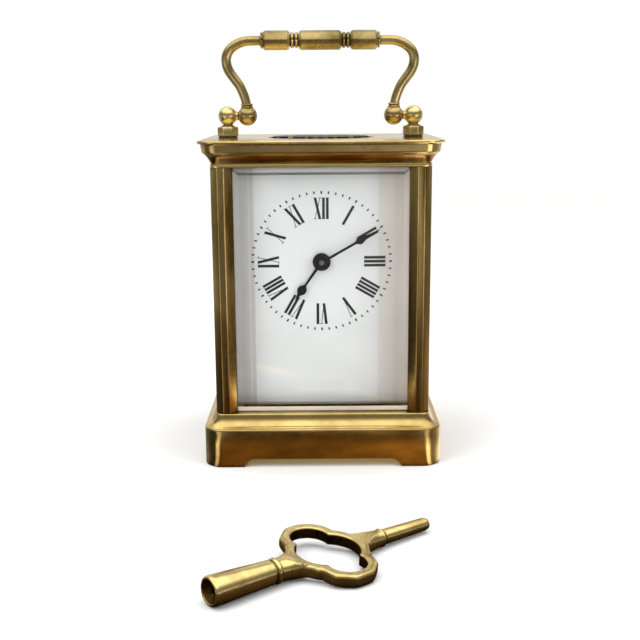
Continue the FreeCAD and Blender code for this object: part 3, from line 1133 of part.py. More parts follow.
def balance_wheel():
    """A two-armed rim with timing screws."""
    ring = rod_z(BALANCE_R, BALANCE_AT, *BALANCE_Z).cut(rod_z(BALANCE_R - 0.9, BALANCE_AT, *BALANCE_Z))
    arm_z = (BALANCE_Z[0] + 0.2, BALANCE_Z[1] - 0.2)
    arms = platform_bar(BALANCE_AT, -BALANCE_R + 0.5, BALANCE_R - 0.5, 0.55, arm_z)
    hub = rod_z(1.3, BALANCE_AT, *BALANCE_Z)
    middle = (BALANCE_Z[0] + BALANCE_Z[1]) / 2
    screws = []
    for n in range(12):
        angle = TOWARDS_BALANCE + math.radians(15 + 30 * n)
        inner, outer = polar(BALANCE_AT, BALANCE_R - 0.4, angle), polar(BALANCE_AT, BALANCE_R + 0.6, angle)
        screws.append(rod(0.3, V(inner[0], inner[1], middle), V(outer[0], outer[1], middle)))
    return joined([ring, arms, hub] + screws).cut(rod_z(STAFF_R, BALANCE_AT, 98, 101))


def balance_staff():
    """The staff with the hairspring's collet above and the roller below, whose pin works in the fork."""
    staff = rod_z(STAFF_R, BALANCE_AT, DECK + 0.1, BRIDGE_Z[0] - END_SHAKE)
    pivots = rod_z(FINE_PIVOT, BALANCE_AT, DECK_LOW + 0.6, BRIDGE_Z[1] - 0.1)
    roller = rod_z(2.0, BALANCE_AT, 97.05, 97.45)
    collet = rod_z(0.9, BALANCE_AT, SPRING_Z[0] - 0.2, SPRING_Z[1] + 0.2)
    pin = rod_z(0.22, along_platform(-1.5, 0, BALANCE_AT), 96.85, 97.2)
    return joined([staff, pivots, roller, collet, pin])


def hairspring():
    """A flat spiral whose outer end meets the stud."""
    strip = spiral(BALANCE_AT, 1.25, 3.75, 7, 0.12, 24)
    start = TOWARDS_BALANCE
    turned = []
    for x, y in strip:
        radius, angle = math.hypot(x - BALANCE_AT[0], y - BALANCE_AT[1]), direction_of(BALANCE_AT, (x, y))
        turned.append(polar(BALANCE_AT, radius, angle + start))
    return prism_z(turned, *SPRING_Z)


def regulator_index():
    """A ring round the balance's upper bearing, with a pointer along the cock."""
    low, high = BRIDGE_Z[1] + 0.1, BRIDGE_Z[1] + 0.5
    ring = rod_z(2.4, BALANCE_AT, low, high)
    outline = [along_platform(1.5, -0.6, BALANCE_AT), along_platform(8.6, -0.2, BALANCE_AT)]
    outline += [along_platform(9.4, 0, BALANCE_AT), along_platform(8.6, 0.2, BALANCE_AT)]
    outline.append(along_platform(1.5, 0.6, BALANCE_AT))
    tail = prism_z([along_platform(-1.5, -0.4, BALANCE_AT), along_platform(-1.5, 0.4, BALANCE_AT),
                    along_platform(-4.0, 0.3, BALANCE_AT), along_platform(-4.0, -0.3, BALANCE_AT)], low, high)
    pointer = prism_z(outline, low, high)
    return joined([ring, pointer, tail]).cut(rod_z(1.2 + RUN, BALANCE_AT, low - 1, high + 1))


# ---------------------------------------------------------------- key
def laid_down(shape):
    """Turns a key part, made along +X with its foot at the origin, into its place on the surface. The key rests
    on the mouth of its thick tube, the smaller ring and the edge of one lobe."""
    tilt = math.degrees(math.asin((SOCKET_MOUTH_R - SMALL_RING_R) / SMALL_RING_AT))
    shape.rotate(V(0, 0, 0), RIGHT, KEY_ROLL)
    shape.rotate(V(0, 0, 0), BACKWARD, tilt)
    shape.translate(V(0, 0, SOCKET_MOUTH_R + 0.06))
    shape.rotate(V(0, 0, 0), UP, KEY_TURN)
    shape.translate(KEY_FOOT)
    return shape


def quatrefoil(grow, thick):
    """Two lobes across the key and two larger ones along it. grow is the offset from the inner edge."""
    low = V(BOW_AT, 0, -thick / 2)
    circles = []
    for side in (-1, 1):
        circles.append(Part.makeCylinder(LOBE_R + grow, thick, low + V(0, side * LOBE_AT, 0)))
        circles.append(Part.makeCylinder(SIDE_R + grow, thick, low + V(side * SIDE_AT, 0, 0)))
    return joined(circles)


def neck(start, end, radius, root):
    """A round neck that widens in a hollow curve and is flattened above and below towards the bow."""
    long = abs(end - start)
    widths = [(0, 1.0), (0.35, 1.05), (0.6, 1.2), (0.8, 1.45), (1.0, root)]
    profile = [(0, 0)] + [(radius * wide, long * share) for share, wide in widths] + [(0, long)]
    flared = lathe(profile, V(start, 0, 0), RIGHT if end > start else -RIGHT)
    high, low = radius - 0.05, BOW_THICK / 2 - 0.05
    middle = start + 0.35 * (end - start)
    side = [(start, high), (middle, high), (end, low), (end, -low), (middle, -high), (start, -high)]
    return flared.common(prism_y(side, -10, 10))


def rounded_ring(radius, long, start):
    edge = 0.3
    low = [(0, 0), (radius - edge, 0), (radius, edge)]
    high = [(radius, long - edge), (radius - edge, long), (0, long)]
    return lathe(low + high, V(start, 0, 0), RIGHT)


def key_bow():
    """The pierced grip with a ringed neck at each end."""
    bow = quatrefoil(BOW_RIM, BOW_THICK).cut(quatrefoil(0, BOW_THICK + 2))
    necks = [neck(SOCKET_END, BOW_AT - NECK_END, 3.1, 1.75), neck(TUBE_START, BOW_AT + NECK_END, 2.5, 1.9)]
    rings = [rounded_ring(LARGE_RING_R, 1.3, SOCKET_END + 0.6), rounded_ring(SMALL_RING_R, 1.2, SMALL_RING_AT)]
    bow = joined([bow] + necks + rings).cut(quatrefoil(0, 4 * BOW_THICK))
    sockets = [rod(LARGE_SPIGOT + FIT, V(SOCKET_END - 1, 0, 0), V(SOCKET_END + SPIGOT_DEEP, 0, 0))]
    sockets.append(rod(SMALL_SPIGOT + FIT, V(TUBE_START - SPIGOT_DEEP, 0, 0), V(TUBE_START + 1, 0, 0)))
    return laid_down(bow.cut(sockets))


def key_tube(end, mouth, radii, spigot, square, depth):
    """A tapered tube with a square socket in its open end and a spigot that enters the bow. end and mouth are
    places along the key, and radii are the tube's there."""
    outward = 1 if end < mouth else -1
    long = abs(mouth - end)
    profile = [(0, 0), (radii[0], 0), (radii[1], long - 0.3), (radii[1] - 0.3, long), (0, long)]
    tube = lathe(profile, V(end, 0, 0), RIGHT * outward)
    half = square / 2
    hollow = sorted([mouth + outward, mouth - outward * depth])
    tube = tube.cut(box(hollow[0], hollow[1], -half, half, -half, half))
    return tube.fuse(rod(spigot, V(end - outward * SPIGOT_DEEP, 0, 0), V(end, 0, 0))).removeSplitter()


def key_socket_large():
    tube = key_tube(SOCKET_END, 0, (SOCKET_R, SOCKET_MOUTH_R), LARGE_SPIGOT, WIND_SQUARE + 0.2, 12.0)
    flare = Part.makeCone(3.25, 2.3, 2.4, V(-0.01, 0, 0), RIGHT)
    return laid_down(tube.cut(flare))


def key_socket_small():
    return laid_down(key_tube(TUBE_START, KEY_LONG, (TUBE_R, TUBE_TIP_R), SMALL_SPIGOT, SET_SQUARE + 0.15, 8.0))


# ---------------------------------------------------------------- the sub-parts, one file each
NODES = {
    "base_moulding": base_moulding,
    "base_screws": base_screws,
    "pillar_front_left": lambda: pillar(-1, -1),
    "pillar_front_right": lambda: pillar(1, -1),
    "pillar_rear_left": lambda: pillar(-1, 1),
    "pillar_rear_right": lambda: pillar(1, 1),
    "cornice": cornice,
    "top_glass": top_glass,
    "front_glass": front_glass,
    "left_glass": lambda: side_glass(-1),
    "right_glass": lambda: side_glass(1),
    "handle_post_left": lambda: handle_post(-1),
    "handle_post_right": lambda: handle_post(1),
    "handle_pivot_screws": handle_pivot_screws,
    "handle_arm_left": lambda: handle_arm(-1),
    "handle_arm_right": lambda: handle_arm(1),
    "handle_grip": handle_grip,
    "door_frame": door_frame,
    "door_glass": door_glass,
    "door_knob": door_knob,
    "door_hinge_pins": door_hinge_pins,
    "dial": dial,
    "front_plate": front_plate,
    "back_plate": back_plate,
    "plate_pillars": plate_pillars,
    "plate_screws": plate_screws,
    "centre_arbor": centre_arbor,
    "centre_wheel": centre_wheel,
    "cannon_pinion": cannon_pinion,
    "minute_hand": minute_hand,
    "minute_wheel": minute_wheel,
    "minute_wheel_stud": minute_wheel_stud,
    "hour_wheel": hour_wheel,
    "hour_hand": hour_hand,
    "winding_arbor": winding_arbor,
    "ratchet_wheel": ratchet_wheel,
    "click": click,
    "click_screws": click_screws,
    "click_spring": click_spring,
    "barrel_drum": barrel_drum,
    "barrel_cover": barrel_cover,
    "mainspring": mainspring,
    "intermediate_wheel": intermediate_wheel,
    "third_wheel": third_wheel,
    "contrate_wheel": contrate_wheel,
    "platform_plate": platform_plate,
    "platform_screws": platform_screws,
    "escape_cock": escape_cock,
    "escape_wheel": escape_wheel,
    "pallet_lever": pallet_lever,
    "pallet_stones": pallet_stones,
    "balance_cock": balance_cock,
    "balance_wheel": balance_wheel,
    "balance_staff": balance_staff,
    "hairspring": hairspring,
    "regulator_index": regulator_index,
    "jewels": jewels,
    "key_bow": key_bow,
    "key_socket_large": key_socket_large,
    "key_socket_small": key_socket_small,
}

os.makedirs("parts", exist_ok=True)
for node, make in NODES.items():
    shape = make()
    solids = len(shape.Solids)
    print(f"{node:22} solids {solids:2} valid {shape.isValid()} volume {shape.Volume:10.2f}")
    shape.exportStep(f"parts/{node}.step")
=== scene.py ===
"""Looks of the carriage clock and its key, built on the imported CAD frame. Metres, in the frame's own axes."""

import json
import math

import bpy
import bmesh
from mathutils import Matrix, Vector


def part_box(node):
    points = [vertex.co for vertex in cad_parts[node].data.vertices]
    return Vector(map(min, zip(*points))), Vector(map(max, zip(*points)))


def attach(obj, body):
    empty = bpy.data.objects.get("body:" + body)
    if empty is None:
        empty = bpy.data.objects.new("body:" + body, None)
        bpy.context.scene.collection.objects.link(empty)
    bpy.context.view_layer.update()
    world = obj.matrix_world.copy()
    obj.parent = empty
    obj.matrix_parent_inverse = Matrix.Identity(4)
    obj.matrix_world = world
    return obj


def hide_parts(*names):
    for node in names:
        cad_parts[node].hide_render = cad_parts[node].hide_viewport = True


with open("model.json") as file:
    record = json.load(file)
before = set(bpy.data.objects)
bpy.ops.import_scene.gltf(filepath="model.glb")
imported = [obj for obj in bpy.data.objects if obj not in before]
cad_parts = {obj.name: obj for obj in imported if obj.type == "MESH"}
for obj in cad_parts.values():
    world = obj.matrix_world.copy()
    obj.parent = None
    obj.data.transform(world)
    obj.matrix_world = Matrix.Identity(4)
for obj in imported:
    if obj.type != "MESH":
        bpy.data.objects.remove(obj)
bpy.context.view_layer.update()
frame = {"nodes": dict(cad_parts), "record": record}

nodes = frame["nodes"]
MM = 0.001
QUARTER = math.pi / 2
UP, RIGHT, BACKWARD = Vector((0, 0, 1)), Vector((1, 0, 0)), Vector((0, 1, 0))


def centre_of(node):
    low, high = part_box(node)
    return (low + high) / 2


# ---------------------------------------------------------------- sizes that the frame gives
BASE_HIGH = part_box("base_moulding")[1]
CORNICE_LOW, CORNICE_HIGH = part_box("cornice")
HALF_X, HALF_Y = BASE_HIGH.x, BASE_HIGH.y
BASE_TOP, CORNICE_BOTTOM, CORNICE_TOP = BASE_HIGH.z, CORNICE_LOW.z, CORNICE_HIGH.z
LOW, TOP = BASE_TOP / MM, CORNICE_BOTTOM / MM  # where pillars and glasses start and end, in millimetres
PILLAR_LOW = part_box("pillar_front_left")[0]
CASE_X, CASE_Y = -PILLAR_LOW.x, -PILLAR_LOW.y
DIAL_LOW, DIAL_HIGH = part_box("dial")
DIAL_FACE = DIAL_LOW.y
ARBOR = centre_of("centre_wheel")  # the hands turn about a line along Y through this point
GRIP_LOW, GRIP_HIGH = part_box("handle_grip")
GRIP_Z, GRIP_R = (GRIP_LOW.z + GRIP_HIGH.z) / 2, (GRIP_HIGH.z - GRIP_LOW.z) / 2


# ---------------------------------------------------------------- shapes as (vertices, faces)
def in_mm(points):
    """Pairs of millimetres as pairs of metres."""
    return [(a * MM, b * MM) for a, b in points]


def round_angles(count):
    return [2 * math.pi * n / count for n in range(count)]


def loft(rings, cap_low=True, cap_high=True, closed=True):
    """Quads between rings of the same number of points, with a face over each end."""
    count = len(rings[0])
    vertices = [p for ring in rings for p in ring]
    faces = []
    for low in range(0, (len(rings) - 1) * count, count):
        for n in range(count if closed else count - 1):
            after = (n + 1) % count
            faces.append((low + n, low + after, low + count + after, low + count + n))
    if cap_low:
        faces.append(tuple(range(count))[::-1])
    if cap_high:
        faces.append(tuple(range(len(vertices) - count, len(vertices))))
    return vertices, faces


def combined(*shapes):
    vertices, faces = [], []
    for points, polygons in shapes:
        faces += [tuple(len(vertices) + i for i in polygon) for polygon in polygons]
        vertices += points
    return vertices, faces


def moved(shape, matrix):
    return [matrix @ Vector(p) for p in shape[0]], shape[1]


def softened(points, radius, closed=True, steps=3):
    """Rounds the corners of an outline of pairs."""
    points = [Vector(p) for p in points]
    rounded = []
    for n, corner in enumerate(points):
        if not closed and n in (0, len(points) - 1):
            rounded.append(corner)
            continue
        before = points[n - 1] - corner
        after = points[(n + 1) % len(points)] - corner
        if before.length < 1e-9 or after.length < 1e-9:
            rounded.append(corner)
            continue
        start = corner + before.normalized() * min(radius, 0.45 * before.length)
        end = corner + after.normalized() * min(radius, 0.45 * after.length)
        for step in range(steps + 1):
            t = step / steps
            rounded.append(start * (1 - t) ** 2 + corner * (2 * t * (1 - t)) + end * t**2)
    return rounded


def lathe(profile, base, axis, soft=0.12 * MM, around=64):
    """A turned solid from (radius, distance along the axis) points."""
    side = axis.cross(UP if abs(axis.z) < 0.5 else RIGHT).normalized()
    other = axis.cross(side)
    rings = []
    outward = [side * math.cos(a) + other * math.sin(a) for a in round_angles(around)]
    for radius, along in softened(profile, soft, closed=False):
        rings.append([base + axis * along + out * max(radius, 1e-6) for out in outward])
    return loft(rings)


def slab(outline, place, low, high, soft=0.1 * MM):
    """An extruded outline with softened edges. place turns (u, v, height) into a point."""
    outline = [Vector(p) for p in outline]
    inset = inset_outline(outline, soft)
    rings = [[place(p.x, p.y, low) for p in inset], [place(p.x, p.y, low + soft) for p in outline]]
    rings += [[place(p.x, p.y, high - soft) for p in outline], [place(p.x, p.y, high) for p in inset]]
    return loft(rings)


def inset_outline(outline, distance):
    """The outline moved inwards by the same distance all round."""
    area = sum(a.x * b.y - b.x * a.y for a, b in zip(outline, outline[1:] + outline[:1]))
    turn = 1 if area > 0 else -1
    moved_points = []
    for n, point in enumerate(outline):
        before = (point - outline[n - 1]).normalized()
        after = (outline[(n + 1) % len(outline)] - point).normalized()
        normal = Vector((-before.y - after.y, before.x + after.x)) * turn
        if normal.length < 1e-9:
            moved_points.append(point)
            continue
        normal.normalize()
        slope = max(0.35, normal.dot(Vector((-before.y, before.x)) * turn))
        moved_points.append(point + normal * distance / slope)
    return moved_points


def ball(centre, radius, around=48):
    profile = [(radius * math.sin(a), -radius * math.cos(a)) for a in [math.pi * n / 24 for n in range(25)]]
    return lathe(profile, centre, UP, 0, around)


def tube(path, radius_at, around=32):
    """A round rod along a path of points in the XZ plane. radius_at takes the share of the path's length."""
    lengths = [0.0]
    for a, b in zip(path, path[1:]):
        lengths.append(lengths[-1] + (b - a).length)
    rings = []
    for n, point in enumerate(path):
        direction = (path[min(n + 1, len(path) - 1)] - path[max(n - 1, 0)]).normalized()
        side = direction.cross(BACKWARD).normalized()
        radius = radius_at(lengths[n] / lengths[-1])
        outward = [side * math.cos(a) + BACKWARD * math.sin(a) for a in round_angles(around)]
        rings.append([point + out * radius for out in outward])
    return loft(rings)


def smooth_mesh(name, shape):
    mesh = bpy.data.meshes.new(name)
    mesh.from_pydata([tuple(p) for p in shape[0]], [], shape[1])
    for polygon in mesh.polygons:
        polygon.use_smooth = True
    return mesh


def placed(name, data):
    """A new object in the scene."""
    new = bpy.data.objects.new(name, data)
    bpy.context.scene.collection.objects.link(new)
    return new


def piece(name, shape, material, body, replaces=(), sharp=32):
    """A smooth-shaded mesh with sharp creases, riding on a body."""
    mesh = smooth_mesh(name, shape)
    cleaner = bmesh.new()
    cleaner.from_mesh(mesh)
    bmesh.ops.remove_doubles(cleaner, verts=cleaner.verts, dist=1e-7)
    bmesh.ops.recalc_face_normals(cleaner, faces=cleaner.faces)
    cleaner.to_mesh(mesh)
    cleaner.free()
    mesh.set_sharp_from_angle(angle=math.radians(sharp))
    mesh.materials.append(material)
    new = placed(name, mesh)
    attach(new, body)
    if replaces:
        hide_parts(*replaces)


# ---------------------------------------------------------------- materials
class Nodes:
    """A short way to write the node tree of a new material, or of the world."""

    def __init__(self, name, world=None):
        self.owner = world or bpy.data.materials.new(name)
        self.owner.use_nodes = True
        self.tree = self.owner.node_tree
        self.tree.nodes.clear()
        self.output = self.add("ShaderNodeOutputWorld" if world else "ShaderNodeOutputMaterial")
        self.coords = self.add("ShaderNodeTexCoord").outputs
        self.place = self.coords["Object"]

    def add(self, kind, inputs=None, **settings):
        node = self.tree.nodes.new(kind)
        for key, value in settings.items():
            setattr(node, key, value)
        for key, value in (inputs or {}).items():
            if isinstance(value, bpy.types.NodeSocket):
                self.tree.links.new(value, node.inputs[key])
            else:
                node.inputs[key].default_value = value
        return node

    def stretched(self, scale):
        return self.add("ShaderNodeMapping", {"Vector": self.place, "Scale": scale}).outputs["Vector"]

    def noise(self, scale, detail=4.0, rough=0.55, vector=None, distortion=0.0):
        inputs = {"Vector": vector or self.place, "Scale": scale, "Detail": detail, "Roughness": rough}
        inputs["Distortion"] = distortion
        return self.add("ShaderNodeTexNoise", inputs).outputs["Fac"]

    def remap(self, value, low, high, to_low=0.0, to_high=1.0):
        inputs = {"Value": value, "From Min": low, "From Max": high, "To Min": to_low, "To Max": to_high}
        return self.add("ShaderNodeMapRange", inputs, clamp=True).outputs["Result"]

    def maths(self, operation, a, b):
        return self.add("ShaderNodeMath", {0: a, 1: b}, operation=operation).outputs[0]

    def plus(self, a, b):
        return self.maths("ADD", a, b)

    def times(self, a, b):
        return self.maths("MULTIPLY", a, b)

    def without(self, share):
        return self.maths("SUBTRACT", 1.0, share)

    def axes(self, vector):
        return self.add("ShaderNodeSeparateXYZ", {0: vector}).outputs

    def ramp(self, value, stops):
        """A colour ramp through (position, linear colour) stops."""
        node = self.add("ShaderNodeValToRGB", {"Fac": value})
        elements = node.color_ramp.elements
        for element, (position, tone) in zip(elements, (stops[0], stops[-1])):
            element.position, element.color = position, [*tone, 1.0]
        for position, tone in stops[1:-1]:
            elements.new(position).color = [*tone, 1.0]
        return node.outputs["Color"]

    def mix(self, factor, a, b):
        inputs = {"Factor": factor, 6: a, 7: b}
        return self.add("ShaderNodeMix", inputs, data_type="RGBA").outputs[2]

    def shade_in_hollows(self, distance):
        """1 in the open, less in hollows and corners: an occlusion mask, used to paint shade."""
        return self.add("ShaderNodeAmbientOcclusion", {"Distance": distance}, samples=6).outputs["AO"]

    def toned(self, share, bright, dull, hollows):
        """Bright to dull by a share, and dull in hollows of the given size: painted shade from an occlusion mask.
        """
        base = self.mix(self.remap(share, 0.35, 0.7), bright, dull)
        return self.mix(self.remap(self.shade_in_hollows(hollows), 0.3, 0.9), dull, base)

    def bump(self, height, strength, distance, normal=None):
        inputs = {"Height": height, "Strength": strength, "Distance": distance}
        if normal is not None:
            inputs["Normal"] = normal
        return self.add("ShaderNodeBump", inputs).outputs["Normal"]

    def either(self, share, a, b):
        return self.add("ShaderNodeMixShader", {0: share, 1: a, 2: b}).outputs[0]

    def finish(self, shader):
        self.tree.links.new(shader, self.output.inputs["Surface"])
        return self.owner

    def bsdf(self, **inputs):
        renamed = {key.replace("_", " "): value for key, value in inputs.items()}
        return self.add("ShaderNodeBsdfPrincipled", renamed).outputs["BSDF"]

    def principled(self, **inputs):
        return self.finish(self.bsdf(**inputs))

    def metal(self, base, roughness, normal):
        return self.principled(Base_Color=base, Metallic=1.0, Roughness=roughness, Normal=normal)


def colour(r, g, b):
    """A linear colour from one as seen on a screen, 0 to 255."""
    return [((c / 255 + 0.055) / 1.055) ** 2.4 if c > 10 else c / 255 / 12.92 for c in (r, g, b)] + [1.0]


def spread(stops):
    """(place, tone) stops with their places brought to 0 to 1, after the first and last place."""
    low, high = stops[0][0], stops[-1][0]
    return low, high, [((at - low) / (high - low), tone) for at, tone in stops]


def brass(name, bright, dull, dirt_and_shade, rough=(0.10, 0.30), patch=35.0, toned=(0.42, 0.66), grain=0.05,
          shade_in_hollows=2.5 * MM, stretch=(1.0, 1.0, 1.0), tarnish=()):
    """Polished brass gone patchy with age: toned in clouds, with hairline scratches and small dark pits, and
    darkened in hollows by painted shade.
    tarnish is a list of (height in mm, share of reddish tarnish)."""
    n = Nodes(name)
    clouds = n.noise(patch, 6.0, 0.62, n.stretched(stretch), 0.6)
    toning = n.remap(clouds, *toned)
    fine = n.noise(patch * 14, 5.0, 0.7)
    # Painted shade: an occlusion mask that darkens the hollows within the given reach
    unshaded_share = n.remap(n.shade_in_hollows(shade_in_hollows), 0.35, 0.92)
    hairlines = n.noise(900.0, 3.0, 0.6, n.stretched((0.06, 1.0, 1.0)))
    cross_lines = n.noise(900.0, 3.0, 0.6, n.stretched((1.0, 1.0, 0.06)))
    pits = n.remap(n.noise(1500.0, 2.0, 0.5), 0.70, 0.78)
    base = n.mix(toning, bright, dull)
    base = n.mix(n.remap(fine, 0.55, 0.85, 0.0, 0.45), base, dull)
    if tarnish:
        low, high, stops = spread([(at, (share, share, share)) for at, share in tarnish])
        shares = n.ramp(n.remap(n.axes(n.place)["Z"], low * MM, high * MM), stops)
        patches = n.remap(n.noise(70.0, 4.0, 0.6, n.stretched(stretch), 0.8), 0.35, 0.6, 0.55, 1.0)
        base = n.mix(n.times(shares, patches), base, TARNISH)
    # Painted shade in the hollows, then the small pits
    base = n.mix(unshaded_share, dirt_and_shade, base)
    base = n.mix(n.times(pits, 0.6), base, dirt_and_shade)
    roughness = n.remap(clouds, 0.3, 0.7, *rough)
    roughness = n.plus(roughness, n.remap(fine, 0.4, 0.8, 0.0, 0.10))
    roughness = n.plus(roughness, n.remap(unshaded_share, 0.0, 1.0, 0.25, 0.0))
    lines = n.plus(hairlines, cross_lines)
    height = n.maths("SUBTRACT", lines, n.times(pits, 2.0))
    soft = n.bump(n.noise(120.0, 2.0, 0.4), 0.10, 0.25 * MM)
    normal = n.bump(height, grain, 0.05 * MM, soft)
    return n.metal(base, roughness, normal)


def steel(name, bright, dull, rough, patch=200.0, grain=0.08):
    n = Nodes(name)
    clouds = n.noise(patch, 5.0, 0.6)
    lines = n.noise(2500.0, 3.0, 0.6, n.stretched((1.0, 0.08, 0.4)))
    # Dull in hollows within 1 mm: painted shade
    base = n.toned(clouds, bright, dull, 1 * MM)
    roughness = n.remap(clouds, 0.3, 0.75, *rough)
    normal = n.bump(lines, grain, 0.04 * MM)
    return n.metal(base, roughness, normal)


def grained_brass(name, bright, dull, rough):
    """Movement brass, stoned with a straight grain and gently discoloured."""
    n = Nodes(name)
    grain = n.noise(3000.0, 3.0, 0.6, n.stretched((0.03, 1.0, 1.0)))
    clouds = n.noise(60.0, 5.0, 0.6, distortion=0.4)
    base = n.mix(n.remap(clouds, 0.35, 0.7), bright, dull)
    base = n.mix(n.remap(grain, 0.45, 0.75, 0.0, 0.35), base, dull)
    # Painted shade: dull in hollows within 1.2 mm, from an occlusion mask
    base = n.mix(n.remap(n.shade_in_hollows(1.2 * MM), 0.25, 0.9), dull, base)
    roughness = n.remap(clouds, 0.3, 0.7, *rough)
    roughness = n.plus(roughness, n.remap(grain, 0.4, 0.8, 0.0, 0.12))
    normal = n.bump(grain, 0.15, 0.05 * MM)
    return n.metal(base, roughness, normal)


def frosted_gilt(name, bright, dull):
    n = Nodes(name)
    frost = n.noise(6000.0, 3.0, 0.7)
    clouds = n.noise(90.0, 4.0, 0.6)
    # Dull in hollows within 0.8 mm: painted shade
    base = n.toned(clouds, bright, dull, 0.8 * MM)
    roughness = n.remap(frost, 0.3, 0.7, 0.32, 0.5)
    normal = n.bump(frost, 0.25, 0.03 * MM)
    return n.metal(base, roughness, normal)


def enamel(name, white, shade):
    """Fired enamel: glossy, very slightly uneven, with tiny specks."""
    n = Nodes(name)
    clouds = n.noise(45.0, 4.0, 0.5)
    specks = n.remap(n.noise(1400.0, 2.0, 0.5), 0.76, 0.82)
    base = n.mix(n.remap(clouds, 0.3, 0.75), white, shade)
    base = n.mix(n.times(specks, 0.35), base, colour(150, 146, 138))
    roughness = n.remap(clouds, 0.3, 0.7, 0.12, 0.2)
    normal = n.bump(n.noise(160.0, 2.0, 0.4), 0.05, 0.2 * MM)
    return n.principled(Base_Color=base, Roughness=roughness, Normal=normal, Coat_Weight=0.4, Coat_Roughness=0.06)


def ink(name, black, worn):
    n = Nodes(name)
    fibres = n.noise(2600.0, 4.0, 0.6)
    base = n.mix(n.remap(fibres, 0.5, 0.8), black, worn)
    return n.principled(Base_Color=base, Roughness=n.remap(fibres, 0.3, 0.7, 0.42, 0.58))


def gem(name, tint):
    n = Nodes(name)
    cloud = n.noise(1200.0, 3.0, 0.5)
    base = n.mix(n.remap(cloud, 0.3, 0.7), tint, [c * 0.6 for c in tint[:3]] + [1.0])
    roughness = n.remap(cloud, 0.3, 0.7, 0.03, 0.10)
    return n.principled(Base_Color=base, Roughness=roughness, IOR=1.76, Specular_IOR_Level=0.8)


def glass(name, tint, smear, bend=1.5, painted_shades=()):
    """Clear glass with faint wiping marks. Lamps and bounced light pass it, as they do a real thin pane.
    The last argument gives (axis, [(place in mm, tint)]) bands across the pane in which it is darker: painted
    shade."""
    n = Nodes(name)
    for axis, bands in painted_shades:
        first, last, stops = spread(bands)
        shade = n.ramp(n.remap(n.axes(n.place)[axis], first * MM, last * MM), stops)
        inputs = {"Factor": 1.0, 6: tint, 7: shade}
        tint = n.add("ShaderNodeMix", inputs, data_type="RGBA", blend_type="MULTIPLY").outputs[2]
    wipes = n.noise(60.0, 5.0, 0.6, n.stretched((1.0, 1.0, 0.35)))
    dust = n.remap(n.noise(900.0, 3.0, 0.6), 0.66, 0.8)
    roughness = n.plus(n.remap(wipes, 0.45, 0.8, 0.0, smear), n.times(dust, smear))
    normal = n.bump(n.noise(70.0, 2.0, 0.4), 0.02, 0.1 * MM)
    base = n.mix(n.times(dust, 0.05), tint, colour(225, 222, 214))
    solid = n.bsdf(Base_Color=base, Roughness=roughness, IOR=bend, Transmission_Weight=1.0, Normal=normal)
    rays = n.add("ShaderNodeLightPath").outputs
    passing = n.maths("MAXIMUM", rays["Is Shadow Ray"], rays["Is Diffuse Ray"])
    clear = n.add("ShaderNodeBsdfTransparent", {"Color": tint}).outputs[0]
    return n.finish(n.either(passing, solid, clear))


BRIGHT, DULL = colour(238, 213, 144), colour(176, 150, 92)
# The first colour darkens small pits and, as painted shade, the hollows of the brass
DIRT_AND_SHADE, TARNISH = colour(62, 46, 22), colour(138, 90, 42)
# (height in mm, share): the base's faces, its deck, then the hollow and the band of the cornice
CASE_TARNISH = [
    (0.0, 0.45), (LOW - 5.2, 0.3), (LOW - 4.4, 0.16), (LOW, 0.16), (LOW + 0.4, 0.0), (TOP + 1.1, 0.0),
    (TOP + 1.7, 0.9), (TOP + 4.0, 0.95), (TOP + 4.9, 0.25), (TOP + 7.4, 0.25), (TOP + 7.9, 0.0),
]
POST_TARNISH = [(LOW, 0.65), (LOW + 14.0, 0.5), (LOW + 38.0, 0.3), (LOW + 58.0, 0.15), (LOW + 76.0, 0.0)]
CASE = brass(
    "case_brass", BRIGHT, DULL, DIRT_AND_SHADE, (0.07, 0.20), toned=(0.45, 0.85), shade_in_hollows=1.6 * MM, tarnish=CASE_TARNISH)
PILLAR = brass(
    "pillar_brass", colour(222, 196, 128), colour(110, 88, 46), DIRT_AND_SHADE, (0.08, 0.22), 60.0, (0.40, 0.60),
    stretch=(1, 1, 0.12), tarnish=POST_TARNISH)
TURNED = {"rough": (0.17, 0.30), "patch": 60.0, "grain": 0.02, "shade_in_hollows": 0.8 * MM}
# Painted light: the posts get a brighter copy of the handle's brass, for the light they catch
LIT_POST_BRASS = brass("post_brass_painted_light", colour(244, 226, 166), colour(186, 164, 108), DIRT_AND_SHADE, **TURNED)
HANDLE = brass("handle_brass", colour(204, 182, 130), colour(136, 118, 74), DIRT_AND_SHADE, **TURNED)
# The key's hollows get painted shade that reaches 6 mm
KEY = brass(
    "key_brass", colour(246, 224, 158), colour(200, 172, 112), colour(46, 32, 14), (0.14, 0.28), 90.0,
    grain=0.035, shade_in_hollows=6.0 * MM)
# Very dark brass for the key's bores and the bow's inner walls: painted shade in those hollows
BORE_DIRT_AND_SHADE = colour(16, 11, 5)
PAINTED_SHADE_BRASS = brass("key_painted_shade_brass", colour(96, 72, 36), colour(40, 28, 12), BORE_DIRT_AND_SHADE, (0.35, 0.6), 200.0)
MOVEMENT = grained_brass("movement_brass", colour(236, 208, 142), colour(186, 150, 84), (0.16, 0.3))
GILT = frosted_gilt("platform_gilt", colour(240, 216, 156), colour(204, 172, 108))
BALANCE = grained_brass("balance_gold", colour(244, 214, 150), colour(200, 160, 90), (0.08, 0.2))
STEEL = steel("polished_steel", colour(214, 214, 216), colour(120, 120, 124), (0.12, 0.3))
BLUED = steel("blued_steel", colour(52, 74, 150), colour(24, 28, 70), (0.10, 0.22))
PLAIN = steel("base_screw_steel", colour(170, 165, 158), colour(92, 86, 78), (0.25, 0.45))
HANDS = steel("black_hands", colour(14, 14, 17), colour(5, 5, 6), (0.30, 0.45), 500.0)
ENAMEL = enamel("enamel", colour(238, 239, 240), colour(229, 230, 231))
INK = ink("dial_black", colour(6, 6, 7), colour(24, 23, 23))
RUBY = gem("ruby", colour(196, 22, 66))
